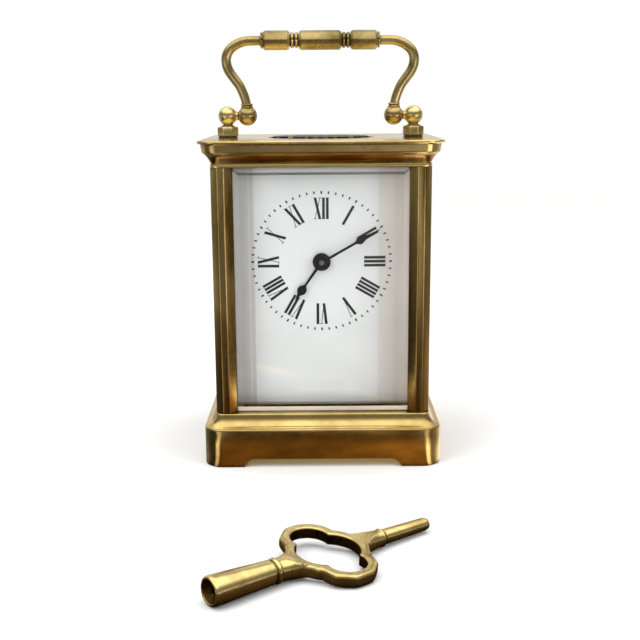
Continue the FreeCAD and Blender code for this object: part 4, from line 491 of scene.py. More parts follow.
CLEAR = glass("clear_glass", [0.985, 0.992, 0.988, 1.0], 0.02)
# Painted reflection: the top glass barely reflects, with an index of 1.004, and its dark tint stands in for the
# dark reflection of the real pane
OVAL_GLASS_PAINTED_DARK = glass("oval_glass_painted_dark", [0.70, 0.74, 0.69, 1.0], 0.0, 1.004)
GROUND = enamel("ground_glass_edge", colour(236, 228, 208), colour(214, 204, 182))

FINISHES = {
    "case_brass": CASE, "handle_brass": HANDLE, "movement_brass": MOVEMENT, "platform_gilt": GILT,
    "balance_gold": BALANCE, "polished_steel": STEEL, "blued_steel": BLUED, "base_screw_steel": PLAIN,
    "black_hands": HANDS, "enamel": ENAMEL, "ruby": RUBY, "clear_glass": CLEAR, "key_brass": KEY,
}
SLOT_OF = {part["node"]: part["material_slot"] for part in frame["record"]["subparts"]}
for node, held in nodes.items():
    finish = OVAL_GLASS_PAINTED_DARK if node == "top_glass" else FINISHES[SLOT_OF[node]]
    for slot in held.material_slots:
        slot.material = finish
    if not held.material_slots:
        held.data.materials.append(finish)


# ---------------------------------------------------------------- case: mouldings
CANT = 4.0 * MM
STATIONS = [24.0, 16.0, 8.0, 0.0, -8.0, -16.0, -24.0]  # along each side of a moulding, mm


def canted_ring(inset, half_x=HALF_X, half_y=HALF_Y, cant=CANT, arris=0.45 * MM, stations=STATIONS,
                side_stations=None):
    """Points round a canted rectangle, anticlockwise from above, with softened arrises and points along
    each side."""
    x, y = half_x - inset, half_y - inset
    c = max(cant - (2 - math.sqrt(2)) * inset, 0.3 * MM)
    side_stations = side_stations or [s * 0.8 for s in stations]
    corners = [
        (x, -y + c), (x, y - c), (x - c, y), (-x + c, y), (-x, y - c), (-x, -y + c), (-x + c, -y), (x - c, -y)]
    rounded = softened(corners, arris, steps=4)
    per_corner = len(rounded) // 8
    ring = []
    sides = {
        0: [(x, -s * MM) for s in side_stations],
        2: [(s * MM, y) for s in stations],
        4: [(-x, s * MM) for s in side_stations],
        6: [(-s * MM, -y) for s in stations],
    }
    for corner in range(8):
        ring += rounded[corner * per_corner:(corner + 1) * per_corner]
        ring += [Vector(p) for p in sides.get(corner, [])]
    return ring


def at_height(ring, height):
    """height is a number or a function of (x, y)."""
    rise = height if callable(height) else (lambda x, y: height)
    return [Vector((p.x, p.y, rise(p.x, p.y))) for p in ring]


def hollow(start, end, bulge, steps=10):
    """A concave quarter between two (inset, height) points, pulled towards the point bulge."""
    a, b, pull = Vector(start), Vector(end), Vector(bulge)
    curve = []
    for step in range(steps + 1):
        t = step / steps
        curve.append(a * (1 - t) ** 2 + pull * (2 * t * (1 - t)) + b * t**2)
    return curve


# Bracket feet, in millimetres: their inner end from the middle, length and height of the arch's end
FOOT, ARCH_RUN, ARCH_RISE = 27.3, 3.6, 2.8
SIDE_FOOT = FOOT - (HALF_X - HALF_Y) / MM
RISE_STEPS = [n / 5 for n in range(6)]


def arch_stations(foot):
    ends = [foot - ARCH_RUN * share for share in RISE_STEPS]
    return [foot + 0.5] + ends + [14.0, 7.0, 0.0, -7.0, -14.0] + [-s for s in reversed(ends)] + [-foot - 0.5]


def arch(x, y):
    """Height of the base's lower edge at a point of its wall."""
    along_front = abs(y) > abs(x) + (HALF_Y - HALF_X) - 0.1 * MM
    foot, along = (FOOT, abs(x) / MM) if along_front else (SIDE_FOOT, abs(y) / MM)
    share = min(max((foot - along) / ARCH_RUN, 0.0), 1.0)
    return ARCH_RISE * MM * (1 - (1 - share) ** 2)


def base_casting():
    front, side = arch_stations(FOOT), arch_stations(SIDE_FOOT)
    wall, deck_under, face = 4.0, LOW - 5.0, LOW - 4.4

    def ring(inset, height, from_arch=False):
        """height is in millimetres above the ground or, with from_arch, above the base's lower edge."""
        rise = (lambda x, y: arch(x, y) + height * MM) if from_arch else height * MM
        return at_height(canted_ring(inset * MM, arris=2.2 * MM, stations=front, side_stations=side), rise)

    inside = [(wall, deck_under), (wall, 6.0)]
    lower_edge = [(wall, 0.3), (wall - 0.3, 0.0), (0.4, 0.0), (0.12, 0.1), (0.0, 0.4)]
    outside = [(0.0, 6.0), (0.0, face - 0.7), (0.06, face - 0.35), (0.25, face - 0.1), (0.55, face)]
    outside += [(0.9, face)] + hollow((1.0, face + 0.1), (3.7, LOW - 0.75), (2.85, face + 0.75))
    outside += [(3.75, LOW - 0.6), (3.8, LOW - 0.2), (3.95, LOW - 0.04), (4.15, LOW)]
    rings = [ring(*at) for at in inside] + [ring(*at, True) for at in lower_edge]
    return loft(rings + [ring(*at) for at in outside])


def cornice_casting():
    low, high = TOP, CORNICE_TOP / MM

    def ring(inset, height):
        return at_height(canted_ring(inset * MM, arris=2.1 * MM), height * MM)

    def inner_box(height):
        return at_height(canted_ring(0, 29.0 * MM, 24.5 * MM, 1.0 * MM, 0.3 * MM), height * MM)

    def oval(half_x, half_y, height):
        points = []
        for p in canted_ring(0):
            angle = math.atan2(p.y / HALF_Y, p.x / HALF_X)
            points.append(Vector((half_x * MM * math.cos(angle), half_y * MM * math.sin(angle), height * MM)))
        return points

    outside = [(4.25, low), (4.05, low + 0.08), (4.0, low + 0.25), (4.0, low + 0.8), (4.1, low + 1.05)]
    outside += [(4.25, low + 1.15)] + hollow((4.3, low + 1.35), (1.95, low + 4.65), (3.5, low + 3.45), 12)
    # the band, with a ring close to each edge so that it shades as flat
    outside += [(1.85, low + 4.8), (1.58, low + 4.88), (1.48, low + 5.1), (1.455, low + 5.25)]
    outside += [(1.145, low + 7.3), (1.12, low + 7.45), (0.95, low + 7.7), (0.55, low + 7.8), (0.3, low + 7.88)]
    outside += [(0.05, low + 8.1), (0.0, low + 8.3), (0.05, high - 0.25), (0.2, high - 0.07), (0.5, high)]
    opening = [(19.3, 15.8, high), (19.08, 15.58, high - 0.1), (19.0, 15.5, high - 0.3)]
    opening += [(19.0, 15.5, high - 1.8), (17.5, 14.0, high - 1.8), (17.5, 14.0, high - 2.0)]
    rings = [inner_box(low)] + [ring(*at) for at in outside] + [oval(*at) for at in opening]
    return loft(rings + [inner_box(high - 2.0), inner_box(low)], False, False)


piece("base_casting", base_casting(), CASE, "case", ["base_moulding"])
piece("cornice_casting", cornice_casting(), CASE, "case", ["cornice"])


# ---------------------------------------------------------------- case: pillars
def pillar_post(side_x, side_y):
    """The post's section has a cant, two narrow faces and a sloping face beside each glass."""
    size, cant, face, inset = 7.4, 2.4, 4.5, 2.0
    half = [(cant, 0.0), (face, 0.0), (face + 0.25, 0.12), (size, inset), (size, inset + 2.0)]
    outline = half + [(q, p) for p, q in reversed(half)]
    place = [(side_x * (CASE_X - p * MM), side_y * (CASE_Y - q * MM)) for p, q in outline]
    rounded = softened(place, 0.28 * MM, steps=4)
    return slab(rounded, lambda u, v, h: Vector((u, v, h)), BASE_TOP, CORNICE_BOTTOM, 0.05 * MM)


for side_y, row in ((-1, "front"), (1, "rear")):
    for side_x, hand in ((-1, "left"), (1, "right")):
        node = f"pillar_{row}_{hand}"
        piece(f"{node}_post", pillar_post(side_x, side_y), PILLAR, "case", [node])


# ---------------------------------------------------------------- carrying handle
POST_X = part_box("handle_post_right")[1].x - 3.75 * MM * math.cos(math.pi / 8)
KNUCKLE_X = 26.0 * MM
PIVOT_Z = centre_of("handle_pivot_screws").z


def handle_post(side):
    """A canted foot with a chamfered top, a ringed neck and a ball, with a small boss towards the knuckle."""
    at = Vector((side * POST_X, 0, CORNICE_TOP))
    rise = PIVOT_Z - CORNICE_TOP

    def foot_ring(radius, height):
        corners = [(radius * MM * math.cos(a), radius * MM * math.sin(a)) for a in foot_angles]
        return [at + Vector((p.x, p.y, height * MM)) for p in softened(corners, 0.35 * MM, steps=3)]

    foot_angles = [math.radians(22.5 + 45 * n) for n in range(8)]
    steps = [(3.5, 0.0), (3.55, 0.45), (3.95, 0.7), (3.95, 3.3), (3.65, 3.75), (2.7, 3.9)]
    foot = loft([foot_ring(radius, height) for radius, height in steps])
    neck = [
        (0, 3.5), (2.6, 3.5), (2.6, 4.1), (1.85, 4.3), (1.7, 4.6), (1.75, 4.8), (2.2, 4.95), (2.2, 5.35),
        (1.75, 5.55), (1.6, 6.2), (0, 6.2)]
    boss_end = at + UP * rise
    shapes = [foot, lathe(in_mm(neck), at, UP), ball(boss_end, 3.35 * MM)]
    boss_start = boss_end - RIGHT * side * 3.9 * MM
    boss = in_mm([(0, 0), (1.35, 0), (1.55, 0.4), (1.7, 1.5), (0, 1.5)])
    shapes.append(lathe(boss, boss_start, (boss_end - boss_start).normalized()))
    return combined(*shapes)


def through(points, steps=6):
    """A smooth curve through the points, without the first and last, which only steer it."""
    curve = []
    for a, b, c, d in zip(points, points[1:], points[2:], points[3:]):
        for step in range(steps):
            t = step / steps
            bend = 2 * a - 5 * b + 4 * c - d
            curve.append(b + ((c - a) * t + bend * t**2 + (3 * b - a - 3 * c + d) * t**3) / 2)
    return curve + [points[-2]]


def s_curve(side):
    """The arm's centre line: out from the knuckle, round the shoulder and in to the grip."""
    rising = [
        (26.0, 1.5), (26.1, 2.9), (26.4, 4.7), (27.1, 7.1), (28.5, 10.3), (30.2, 12.7), (31.8, 14.9),
        (32.8, 17.1)]
    rising = [Vector((x, PIVOT_Z / MM + rise)) * MM for x, rise in rising]
    rising += [Vector((33.1, height)) * MM for height in (138.0, 140.5)]
    bends = [tuple(p) for p in through(rising)]
    bulge_x, bulge_z = bends[-1]
    high_r, top_r, turn = 5.6 * MM, 10.3 * MM, math.radians(50)
    for step in range(1, 13):
        a = turn * step / 12
        bends.append((bulge_x - high_r * (1 - math.cos(a)), bulge_z + high_r * math.sin(a)))
    turn_x, turn_z = bends[-1]
    for step in range(1, 13):
        a = turn + (QUARTER - turn) * step / 12
        inward, upward = math.cos(turn) - math.cos(a), math.sin(a) - math.sin(turn)
        bends.append((turn_x - top_r * inward, turn_z + top_r * upward))
    bends.append((GRIP_HIGH.x - 0.6 * MM, bends[-1][1]))
    return [Vector((side * x, 0, z)) for x, z in bends]


def handle_arm(side):
    path = s_curve(side)
    rod = tube(path, lambda share: (1.62 + 0.12 * math.sin(math.pi * share)) * MM)
    knuckle = Vector((side * KNUCKLE_X, 0, PIVOT_Z))
    collar = [
        (0, 2.4), (2.1, 2.7), (2.25, 2.95), (2.1, 3.25), (1.85, 3.4), (1.85, 3.6), (2.2, 3.75), (2.2, 4.0),
        (1.7, 4.3), (0, 4.3)]
    collar = lathe(in_mm(collar), knuckle + RIGHT * side * 0.1 * MM, UP)
    return combined(rod, ball(knuckle, 3.45 * MM), collar)


def handle_grip():
    """Three eight-sided lengths, double beads between them and stepped collars at the ends."""
    half, middle_end, side_start, side_end = GRIP_HIGH.x / MM, 7.5, 10.6, 20.1
    full = GRIP_R / MM * 0.94
    shapes = []
    for start, end in ((-side_end, -side_start), (-middle_end, middle_end), (side_start, side_end)):
        rings = []
        shoulders = [(start, 2.5), (start, 2.8), (start + 0.8, full), (end - 0.8, full), (end, 2.8), (end, 2.5)]
        for x, radius in shoulders:
            corners = [(radius * math.cos(a), radius * math.sin(a)) for a in round_angles(8)]
            corners = softened(corners, 0.16, steps=2)
            rings.append([Vector((x * MM, p.x * MM, GRIP_Z + p.y * MM)) for p in corners])
        shapes.append(loft(rings))
    bead = [(-0.7, 2.1), (-0.42, 2.62), (0.0, 2.8), (0.42, 2.62), (0.7, 2.1)]
    beads = [(radius, centre + across) for centre in (8.32, 9.78) for across, radius in bead]
    collar = [(0, side_end - 0.3), (2.5, side_end - 0.3), (2.55, side_end + 0.2), (2.85, side_end + 0.4),
              (2.8, side_end + 0.7), (2.3, side_end + 0.9), (2.1, half), (0, half)]
    start, end = middle_end - 0.2, side_start + 0.2
    beads = [(0, start), (2.1, start)] + beads + [(2.1, end), (0, end)]
    for side in (-1, 1):
        for profile in (beads, collar):
            shapes.append(lathe(in_mm(profile), Vector((0, 0, GRIP_Z)), RIGHT * side))
    return combined(*shapes)


for side, hand in ((-1, "left"), (1, "right")):
    piece(f"post_{hand}_turned", handle_post(side), LIT_POST_BRASS, "case", [f"handle_post_{hand}"])
    piece(f"arm_{hand}_turned", handle_arm(side), HANDLE, "handle", [f"handle_arm_{hand}"])
piece("grip_turned", handle_grip(), HANDLE, "handle", ["handle_grip"], 24)


# ---------------------------------------------------------------- dial
DIAL_CENTRE = Vector((ARBOR.x, DIAL_FACE, ARBOR.z))
NUMERAL_INNER, NUMERAL_OUTER, MINUTE_RING = 14.6 * MM, 21.9 * MM, 23.65 * MM
THICK, THIN, INK_HIGH = 0.92 * MM, 0.22 * MM, 0.03 * MM
SERIF, SERIF_LONG = 0.18 * MM, 1.12 * MM
LETTER_WIDTHS = {"I": 1.15 * MM, "V": 2.6 * MM, "X": 2.7 * MM}
WIDEST = {"IIII": 4.9 * MM, "VIII": 6.2 * MM, "XII": 5.2 * MM}  # numerals squeezed to fit their places


def on_dial(angle):
    """Turns (across, outwards, height) at an angle clockwise from twelve into a point on the dial."""
    outward = Vector((math.sin(angle), 0, math.cos(angle)))
    across = Vector((math.cos(angle), 0, -math.sin(angle)))
    return lambda u, v, h: DIAL_CENTRE + across * u + outward * v - BACKWARD * h


def bar(place, foot, head, width):
    """A flat stroke from foot to head, which are (across, outwards) places."""
    half = Vector((width / 2, 0))
    corners = [Vector(foot) - half, Vector(foot) + half, Vector(head) + half, Vector(head) - half]
    return loft([[place(p.x, p.y, height) for p in corners] for height in (-0.02 * MM, INK_HIGH)])


def numeral(letters, angle):
    """A Roman numeral with its foot to the middle of the dial, in thick and thin strokes with serifs."""
    place = on_dial(angle)
    gap = 0.22 * MM
    total = sum(LETTER_WIDTHS[c] for c in letters) + gap * (len(letters) - 1)
    squeeze = min(1.0, WIDEST.get(letters, total) / total)
    gap, total, thick = gap * squeeze, total * squeeze, THICK * (0.4 + 0.6 * squeeze)
    low, high = NUMERAL_INNER, NUMERAL_OUTER
    across = -total / 2
    strokes = []
    for c in letters:
        width = LETTER_WIDTHS[c] * squeeze
        left, right, middle = across + thick / 2, across + width - thick / 2, across + width / 2
        if c == "I":
            lines = [(middle, middle, thick)]
            serifs = [(middle, low), (middle, high)]
        elif c == "V":
            lines = [(middle, left, thick), (middle, right, THIN)]
            serifs = [(left, high), (right, high)]
        else:
            lines = [(right, left, thick), (left, right, THIN)]
            serifs = [(left, low), (right, low), (left, high), (right, high)]
        strokes += [bar(place, (foot, low), (head, high), wide) for foot, head, wide in lines]
        for u, v in serifs:
            inward = v + (SERIF if v == low else -SERIF)
            strokes.append(bar(place, (u, min(v, inward)), (u, max(v, inward)), SERIF_LONG))
        across += width + gap
    return strokes


def dial_marks():
    marks = []
    for hour, letters in enumerate("XII I II III IIII V VI VII VIII IX X XI".split()):
        marks += numeral(letters, math.radians(30 * hour))
    for minute in range(60):
        place = on_dial(math.radians(6 * minute))
        half_long, width = (0.50 * MM, 0.56 * MM) if minute % 5 == 0 else (0.46 * MM, 0.48 * MM)
        marks.append(bar(place, (0, MINUTE_RING - half_long), (0, MINUTE_RING + half_long), width))
    return combined(*marks)


def dial_plate():
    x, low, high = DIAL_HIGH.x, DIAL_LOW.z, DIAL_HIGH.z
    outline = softened([(-x, low), (x, low), (x, high), (-x, high)], 0.6 * MM, steps=5)
    return slab(outline, lambda u, v, h: Vector((u, DIAL_FACE + 1.0 * MM - h, v)), 0, 1.0 * MM, 0.22 * MM)


piece("dial_enamel", dial_plate(), ENAMEL, "case", ["dial"])
piece("dial_numerals", dial_marks(), INK, "case")


# ---------------------------------------------------------------- hands
def hand_shape(stations, thick):
    """A hand along +X from (distance, half width) stations in millimetres, domed across."""
    rings = []
    for distance, half in stations:
        ring = []
        for angle in round_angles(16):
            across = max(half, 0.02) * math.cos(angle)
            rise = thick / 2 * math.copysign(abs(math.sin(angle)) ** 0.6, math.sin(angle))
            ring.append(Vector((distance, rise, across)) * MM)
        rings.append(ring)
    return loft(rings)


MINUTE_STATIONS = [
    (2.0, 0.46), (6.0, 0.44), (10.6, 0.42), (13.2, 0.42), (13.8, 0.62), (14.2, 0.98), (14.7, 1.32), (15.2, 1.32),
    (15.8, 1.18), (16.5, 0.96), (17.2, 0.75), (18.1, 0.56), (19.0, 0.42), (20.8, 0.26), (22.4, 0.12),
    (23.05, 0.03),
]
HOUR_STATIONS = [
    (2.0, 0.56), (5.0, 0.48), (8.4, 0.42), (9.8, 0.42), (10.3, 0.74), (10.7, 1.12), (11.2, 1.46), (11.9, 1.6),
    (12.6, 1.5), (13.1, 1.2), (13.6, 0.8), (14.2, 0.5), (15.2, 0.26), (16.1, 0.04),
]
MINUTE_HUB = [
    (0.9, -0.2), (2.4, -0.2), (2.5, 0.0), (2.4, 0.15), (1.95, 0.25), (1.75, 0.52), (1.6, 0.58), (0.9, 0.58)]
HOUR_HUB = [(1.75, -0.2), (3.0, -0.2), (3.1, 0.0), (3.0, 0.16), (2.5, 0.2), (1.75, 0.2)]


def spade_hand(node, stations, degrees, hub):
    """degrees are clockwise from twelve. hub is the boss as (radius, distance to the front) points."""
    thick = 0.4
    middle = Vector((ARBOR.x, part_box(node)[0].y + thick / 2 * MM, ARBOR.z))
    place = Matrix.Translation(middle) @ Matrix.Rotation(math.radians(degrees - 90), 4, "Y")
    boss = lathe(in_mm(hub), middle, -BACKWARD, 0.06 * MM)
    return combined(moved(hand_shape(stations, thick), place), boss)


for node, body, stations, degrees, hub in (
    ("minute_hand", "centre", MINUTE_STATIONS, 60.4, MINUTE_HUB),
    ("hour_hand", "hour_work", HOUR_STATIONS, 215.0, HOUR_HUB),
):
    piece(f"{node}_spade", spade_hand(node, stations, degrees, hub), HANDS, body, [node])


# ---------------------------------------------------------------- front glass
FRONT_LOW, FRONT_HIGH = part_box("front_glass")
PANE_X = 29.8  # half the pane's width in millimetres


def shade_stops(*bands):
    """(place, tint) stops from (place in mm, share of light, warmth) bands."""
    return [(at, (deep**0.6, deep**0.6 * warm, deep**0.6 * warm**2)) for at, deep, warm in bands]


# Painted shade, shadow and reflection laid over the dial: how dark the bevels, the ground arrises, the shadow line
# along the ground edge and the reflections in the pane look
ACROSS = shade_stops(
    (-PANE_X, 0.86, 0.99), (-28.0, 0.79, 0.985), (-24.9, 0.77, 0.985), (-24.4, 0.90, 0.985), (-23.9, 0.70, 0.98),
    (-23.1, 0.72, 0.98), (-22.6, 0.98, 1.0), (-19.0, 1.0, 1.0), (17.0, 0.98, 1.0), (19.0, 0.94, 0.99),
    (19.6, 0.84, 0.975), (24.0, 0.87, 0.97), (25.5, 0.83, 0.965), (27.0, 0.94, 0.965), (PANE_X, 0.90, 0.95))
UPWARDS = shade_stops(
    (LOW, 0.9, 0.96), (LOW + 1.6, 1.0, 1.0), (LOW + 2.1, 0.25, 0.95), (LOW + 2.9, 0.22, 0.95),
    (LOW + 3.5, 0.98, 1.0), (LOW + 8.0, 1.0, 1.0), (TOP - 4.5, 1.0, 1.0), (TOP - 3.4, 0.90, 1.0),
    (TOP - 1.2, 0.90, 0.99), (TOP - 0.7, 0.5, 0.97), (TOP, 0.35, 0.95))
# A dark line along the top bevel's inner edge and down its mitres: painted shade
ALONG_LINE = shade_stops((-PANE_X, 0.3, 1.0), (-10.0, 0.16, 1.0), (PANE_X, 0.25, 1.0))
PAINTED_SHADE_VEIL = glass("painted_bevel_shade", [1.0, 1.0, 1.0, 1.0], 0.0, 1.02, [("X", ACROSS), ("Z", UPWARDS)])
PAINTED_MITRE_GLASS = glass("painted_mitre_shade", [0.9, 0.9, 0.9, 1.0], 0.0, 1.02, [("X", ALONG_LINE)])


def sheet(outline, near, far):
    """A plate square to the Y axis with an outline of (x, z) points in millimetres."""
    return slab(in_mm(outline), lambda u, v, h: Vector((u, h, v)), near, far, 0.01 * MM)


def flat_bar(x, low, high, near, far):
    return sheet([(-x, low), (x, low), (x, high), (-x, high)], near, far)


behind = FRONT_HIGH.y + 0.25 * MM
# A clear sheet just behind the front glass that darkens what is seen through it by these bands: painted shade and
# reflection
painted_shade_sheet = flat_bar(PANE_X, LOW + 0.05, TOP - 0.05, behind, behind + 0.06 * MM)
piece("front_glass_painted_shade", painted_shade_sheet, PAINTED_SHADE_VEIL, "case")
# The strip that paints that dark line behind the glass
mitre = [(-29.7, 1.0), (-27.7, 2.7), (27.7, 2.7), (29.7, 1.0)]
mitre += [(29.7, 0.5), (27.4, 2.05), (-27.4, 2.05), (-29.7, 0.5)]
mitred = sheet([(x, TOP - drop) for x, drop in mitre], behind + 0.08 * MM, behind + 0.12 * MM)
piece("front_glass_painted_mitre_line", mitred, PAINTED_MITRE_GLASS, "case")
ground = flat_bar(PANE_X, LOW + 0.45, LOW + 1.95, FRONT_LOW.y + 0.55 * MM, FRONT_LOW.y + 0.6 * MM)
piece("front_glass_ground_edge", ground, GROUND, "case")


# ---------------------------------------------------------------- key
# How the key lies: its foot, its turn about the vertical, its roll about its length and its fall to the tip
KEY_FOOT, KEY_TURN, KEY_ROLL = Vector((-29.1, -136.0, 4.16)) * MM, 37.8, 4.6
KEY_TILT = math.asin((4.1 - 2.75) / 56.4)
# Millimetres along the key: where the tubes end, the necks start, the bow's middle stands and the key ends
THICK_END, THICK_NECK, BOW_AT, THIN_NECK, THIN_END, KEY_LONG = 19.0, 20.9, 38.0, 56.6, 57.8, 74.8
BOW_HALF, NECK_REACH = 1.8, 9.4
LOBE_AT, LOBE_R, SIDE_AT, SIDE_R = 8.2, 5.5, 0.9, 8.3
LOBES = [((0, LOBE_AT), LOBE_R), ((0, -LOBE_AT), LOBE_R), ((SIDE_AT, 0), SIDE_R), ((-SIDE_AT, 0), SIDE_R)]
KEY_PLACE = Matrix.Translation(KEY_FOOT) @ Matrix.Rotation(math.radians(KEY_TURN), 4, "Z")
KEY_PLACE = KEY_PLACE @ Matrix.Rotation(KEY_TILT, 4, "Y") @ Matrix.Rotation(math.radians(KEY_ROLL), 4, "X")
KEY_PLACE = KEY_PLACE @ Matrix.Scale(MM, 4)


def bow_reach(angle, grow):
    """How far the quatrefoil reaches from its middle. grow is the offset from its inner edge."""
    reach = 0.0
    direction = Vector((math.cos(angle), math.sin(angle)))
    for centre, radius in LOBES:
        along = direction.dot(Vector(centre))
        inside = (radius + grow) ** 2 - Vector(centre).length_squared + along**2
        if inside > 0:
            reach = max(reach, along + math.sqrt(inside))
    return reach


def bow_ring(grow, height, around=360):
    """A ring round the bow. The reach is eased over the corners and cut by a file's flats outside."""
    ring = []
    for angle in round_angles(around):
        reach = sum(bow_reach(angle + 2 * math.pi * k / around / 2, grow) for k in (-1, 0, 1)) / 3
        reach -= 0.35 * abs(math.sin(9 * angle)) * max(0.0, (grow - 2.0))
        ring.append(Vector((BOW_AT + reach * math.cos(angle), reach * math.sin(angle), height)))
    return ring


def key_bow_loop():
    """A flat pierced loop with broad filed edges outside and narrow ones inside."""
    upper = [(0.0, 1.35), (0.12, 1.62), (0.4, BOW_HALF), (2.2, BOW_HALF), (2.62, 1.62), (2.93, 1.1), (3.0, 0.6)]
    section = upper + [(grow, -height) for grow, height in reversed(upper)] + upper[:1]
    return loft([bow_ring(grow, height) for grow, height in section], False, False)


def key_neck(start, end, radius, root):
    """A round neck that widens in a hollow curve and flattens towards the bow."""
    rings = []
    for step in range(25):
        share = step / 24
        wide = radius * (1.0 + (root - 1.0) * share**2.2)
        tall = radius - 0.05 - (radius - BOW_HALF) * max(0.0, (share - 0.3) / 0.7) ** 1.1
        ring = []
        for a in round_angles(48):
            rise = wide * math.sin(a)
            limit = tall * (1 - 0.10 * math.cos(a) ** 2)
            along = start + (end - start) * share
            ring.append(Vector((along, wide * math.cos(a), max(-limit, min(limit, rise)))))
        rings.append(ring)
    return loft(rings)


def turned(profile, start, direction):
    return lathe(profile, Vector((start, 0, 0)), RIGHT * direction, 0.12)


def key_handle():
    """The loop, its two necks and a turned bead on each, with a groove between bead and tube."""
    bead = [(0, 0), (2.7, 0), (2.75, 0.45), (3.2, 0.65), (3.5, 1.0), (3.55, 1.4), (3.4, 1.8), (3.1, 2.2), (0, 2.2)]
    small = [(0, 0), (1.8, 0), (1.85, 0.3), (2.3, 0.4), (2.65, 0.7), (2.7, 1.1), (2.5, 1.4), (2.3, 1.5), (0, 1.5)]
    necks = [key_neck(THICK_NECK, BOW_AT - NECK_REACH, 3.1, 1.85)]
    necks.append(key_neck(THIN_NECK, BOW_AT + NECK_REACH, 2.5, 2.05))
    return combined(key_bow_loop(), *necks, turned(bead, THICK_END, 1), turned(small, THIN_END, -1))


def round_to_square(radius, squared):
    """A ring of (across, up) points that is round, or square with the given half width."""
    ring = []
    for a in round_angles(64):
        reach = radius / max(abs(math.cos(a)), abs(math.sin(a))) if squared else radius
        ring.append((reach * math.cos(a), reach * math.sin(a)))
    return ring


def along_key(end, mouth, steps, **caps):
    """A shape through (radius, distance out from the end, squared) steps."""
    outward = 1 if end < mouth else -1
    rings = []
    for radius, along, squared in steps:
        section = round_to_square(max(radius, 1e-3), squared)
        rings.append([Vector((end + outward * along, u, v)) for u, v in section])
    return loft(rings, **caps)


def key_pipe(end, mouth, radii, cup):
    """A tapered pipe, open at its rounded mouth."""
    long, tip = abs(mouth - end), radii[1]
    outline = [(0.0, 0.0), (radii[0] - 0.2, 0.0), (radii[0], 0.25), (tip, long - 1.0), (tip - 0.09, long - 0.5)]
    outline += [(tip - 0.24, long - 0.18), ((tip + cup) / 2 - 0.05, long)]
    steps = [(p.x, p.y, False) for p in softened(outline, 0.15, closed=False)]
    return along_key(end, mouth, steps + [(cup, long, False), (cup - 0.1, long - 0.15, False)], cap_high=False)


def key_bore(end, mouth, cup, square, depth):
    """The inside of the pipe: a cone that leads into a square bore."""
    long, half = abs(mouth - end), square / 2
    steps = [(cup - 0.1, long - 0.15, False), (half * 1.38, long - 1.9, False)]
    return along_key(end, mouth, steps + [(half, long - 2.2, True), (half, long - depth, True)], cap_low=False)


piece("key_bow_filed", moved(key_handle(), KEY_PLACE), KEY, "key", ["key_bow"], 38)
# A thin skin over the bow's inner walls in that dark brass: painted shade
INSIDE = [(0.1, 1.28), (-0.03, 1.28), (-0.03, -1.28), (0.1, -1.28), (0.1, 1.28)]
inside = loft([bow_ring(grow, height) for grow, height in INSIDE], False, False)
piece("key_bow_inside_painted_shade", moved(inside, KEY_PLACE), PAINTED_SHADE_BRASS, "key")
for node, end, mouth, radii, cup, square, depth in (
    ("key_socket_large", THICK_END, 0.0, (3.3, 4.1), 3.3, 3.4, 12.0),
    ("key_socket_small", THIN_END, KEY_LONG, (2.2, 1.9), 1.45, 1.95, 8.0),
):
    pipe, bore = key_pipe(end, mouth, radii, cup), key_bore(end, mouth, cup, square, depth)
    piece(f"{node}_turned", moved(pipe, KEY_PLACE), KEY, "key", [node], 38)
    # The cone and bore in the dark brass of painted shade
    piece(f"{node}_bore", moved(bore, KEY_PLACE), PAINTED_SHADE_BRASS, "key")


# ---------------------------------------------------------------- stage
def sweep():
    """A floor that curves up into a wall well behind the clock."""
    half, front, back, radius, top = 3.0, -3.0, 1.1, 0.9, 3.0
    path = [Vector((front, 0)), Vector((-0.8, 0)), Vector((0.4, 0)), Vector((back, 0))]
    for step in range(1, 17):
        a = QUARTER * step / 16
        path.append(Vector((back + radius * math.sin(a), radius * (1 - math.cos(a)))))
    path.append(Vector((back + radius, top)))
    left = [Vector((-half, p.x, p.y)) for p in path]
    right = [Vector((half, p.x, p.y)) for p in path]
    faces = [(n, len(path) + n, len(path) + n + 1, n + 1) for n in range(len(path) - 1)]
    return left + right, faces


# What polished metal sees of the floor, as (direction, colour): 0 is straight ahead of the clock, 0.5 its side
# and 1 behind it. CLOSE_SEEN is next to the base, FAR_SEEN beyond the key.
REAR_SEEN = [(0.62, (0.60, 0.58, 0.54)), (1.0, (0.80, 0.78, 0.74))]
CLOSE_SEEN = [
    (0.0, (0.16, 0.078, 0.018)), (0.10, (0.17, 0.085, 0.024)), (0.145, (1.15, 1.05, 0.86)),
    (0.26, (0.9, 0.84, 0.72)), (0.33, (0.11, 0.09, 0.05)), (0.50, (0.12, 0.105, 0.08))] + REAR_SEEN
MIDDLE_SEEN = [
    (0.0, (0.062, 0.034, 0.012)), (0.13, (0.075, 0.045, 0.02)), (0.19, (0.75, 0.70, 0.58)),
    (0.29, (0.8, 0.75, 0.64)), (0.325, (0.07, 0.045, 0.02)), (0.50, (0.12, 0.11, 0.09))] + REAR_SEEN
FAR_SEEN = [
    (0.0, (0.23, 0.225, 0.225)), (0.13, (0.25, 0.245, 0.24)), (0.18, (1.15, 1.1, 1.0)),
    (0.29, (1.05, 1.0, 0.92)), (0.325, (0.13, 0.115, 0.10)), (0.50, (0.17, 0.16, 0.15))] + REAR_SEEN
# What it sees of the room, by the sine of the height above the horizon
ROOM = [
    (0.0, (0.45, 0.44, 0.42)), (0.10, (0.34, 0.33, 0.30)), (0.28, (0.15, 0.14, 0.11)), (0.46, (0.30, 0.28, 0.22)),
    (0.56, (0.85, 0.81, 0.68)), (0.68, (1.5, 1.44, 1.24)), (0.96, (1.6, 1.55, 1.38)), (1.0, (1.2, 1.16, 1.02))]


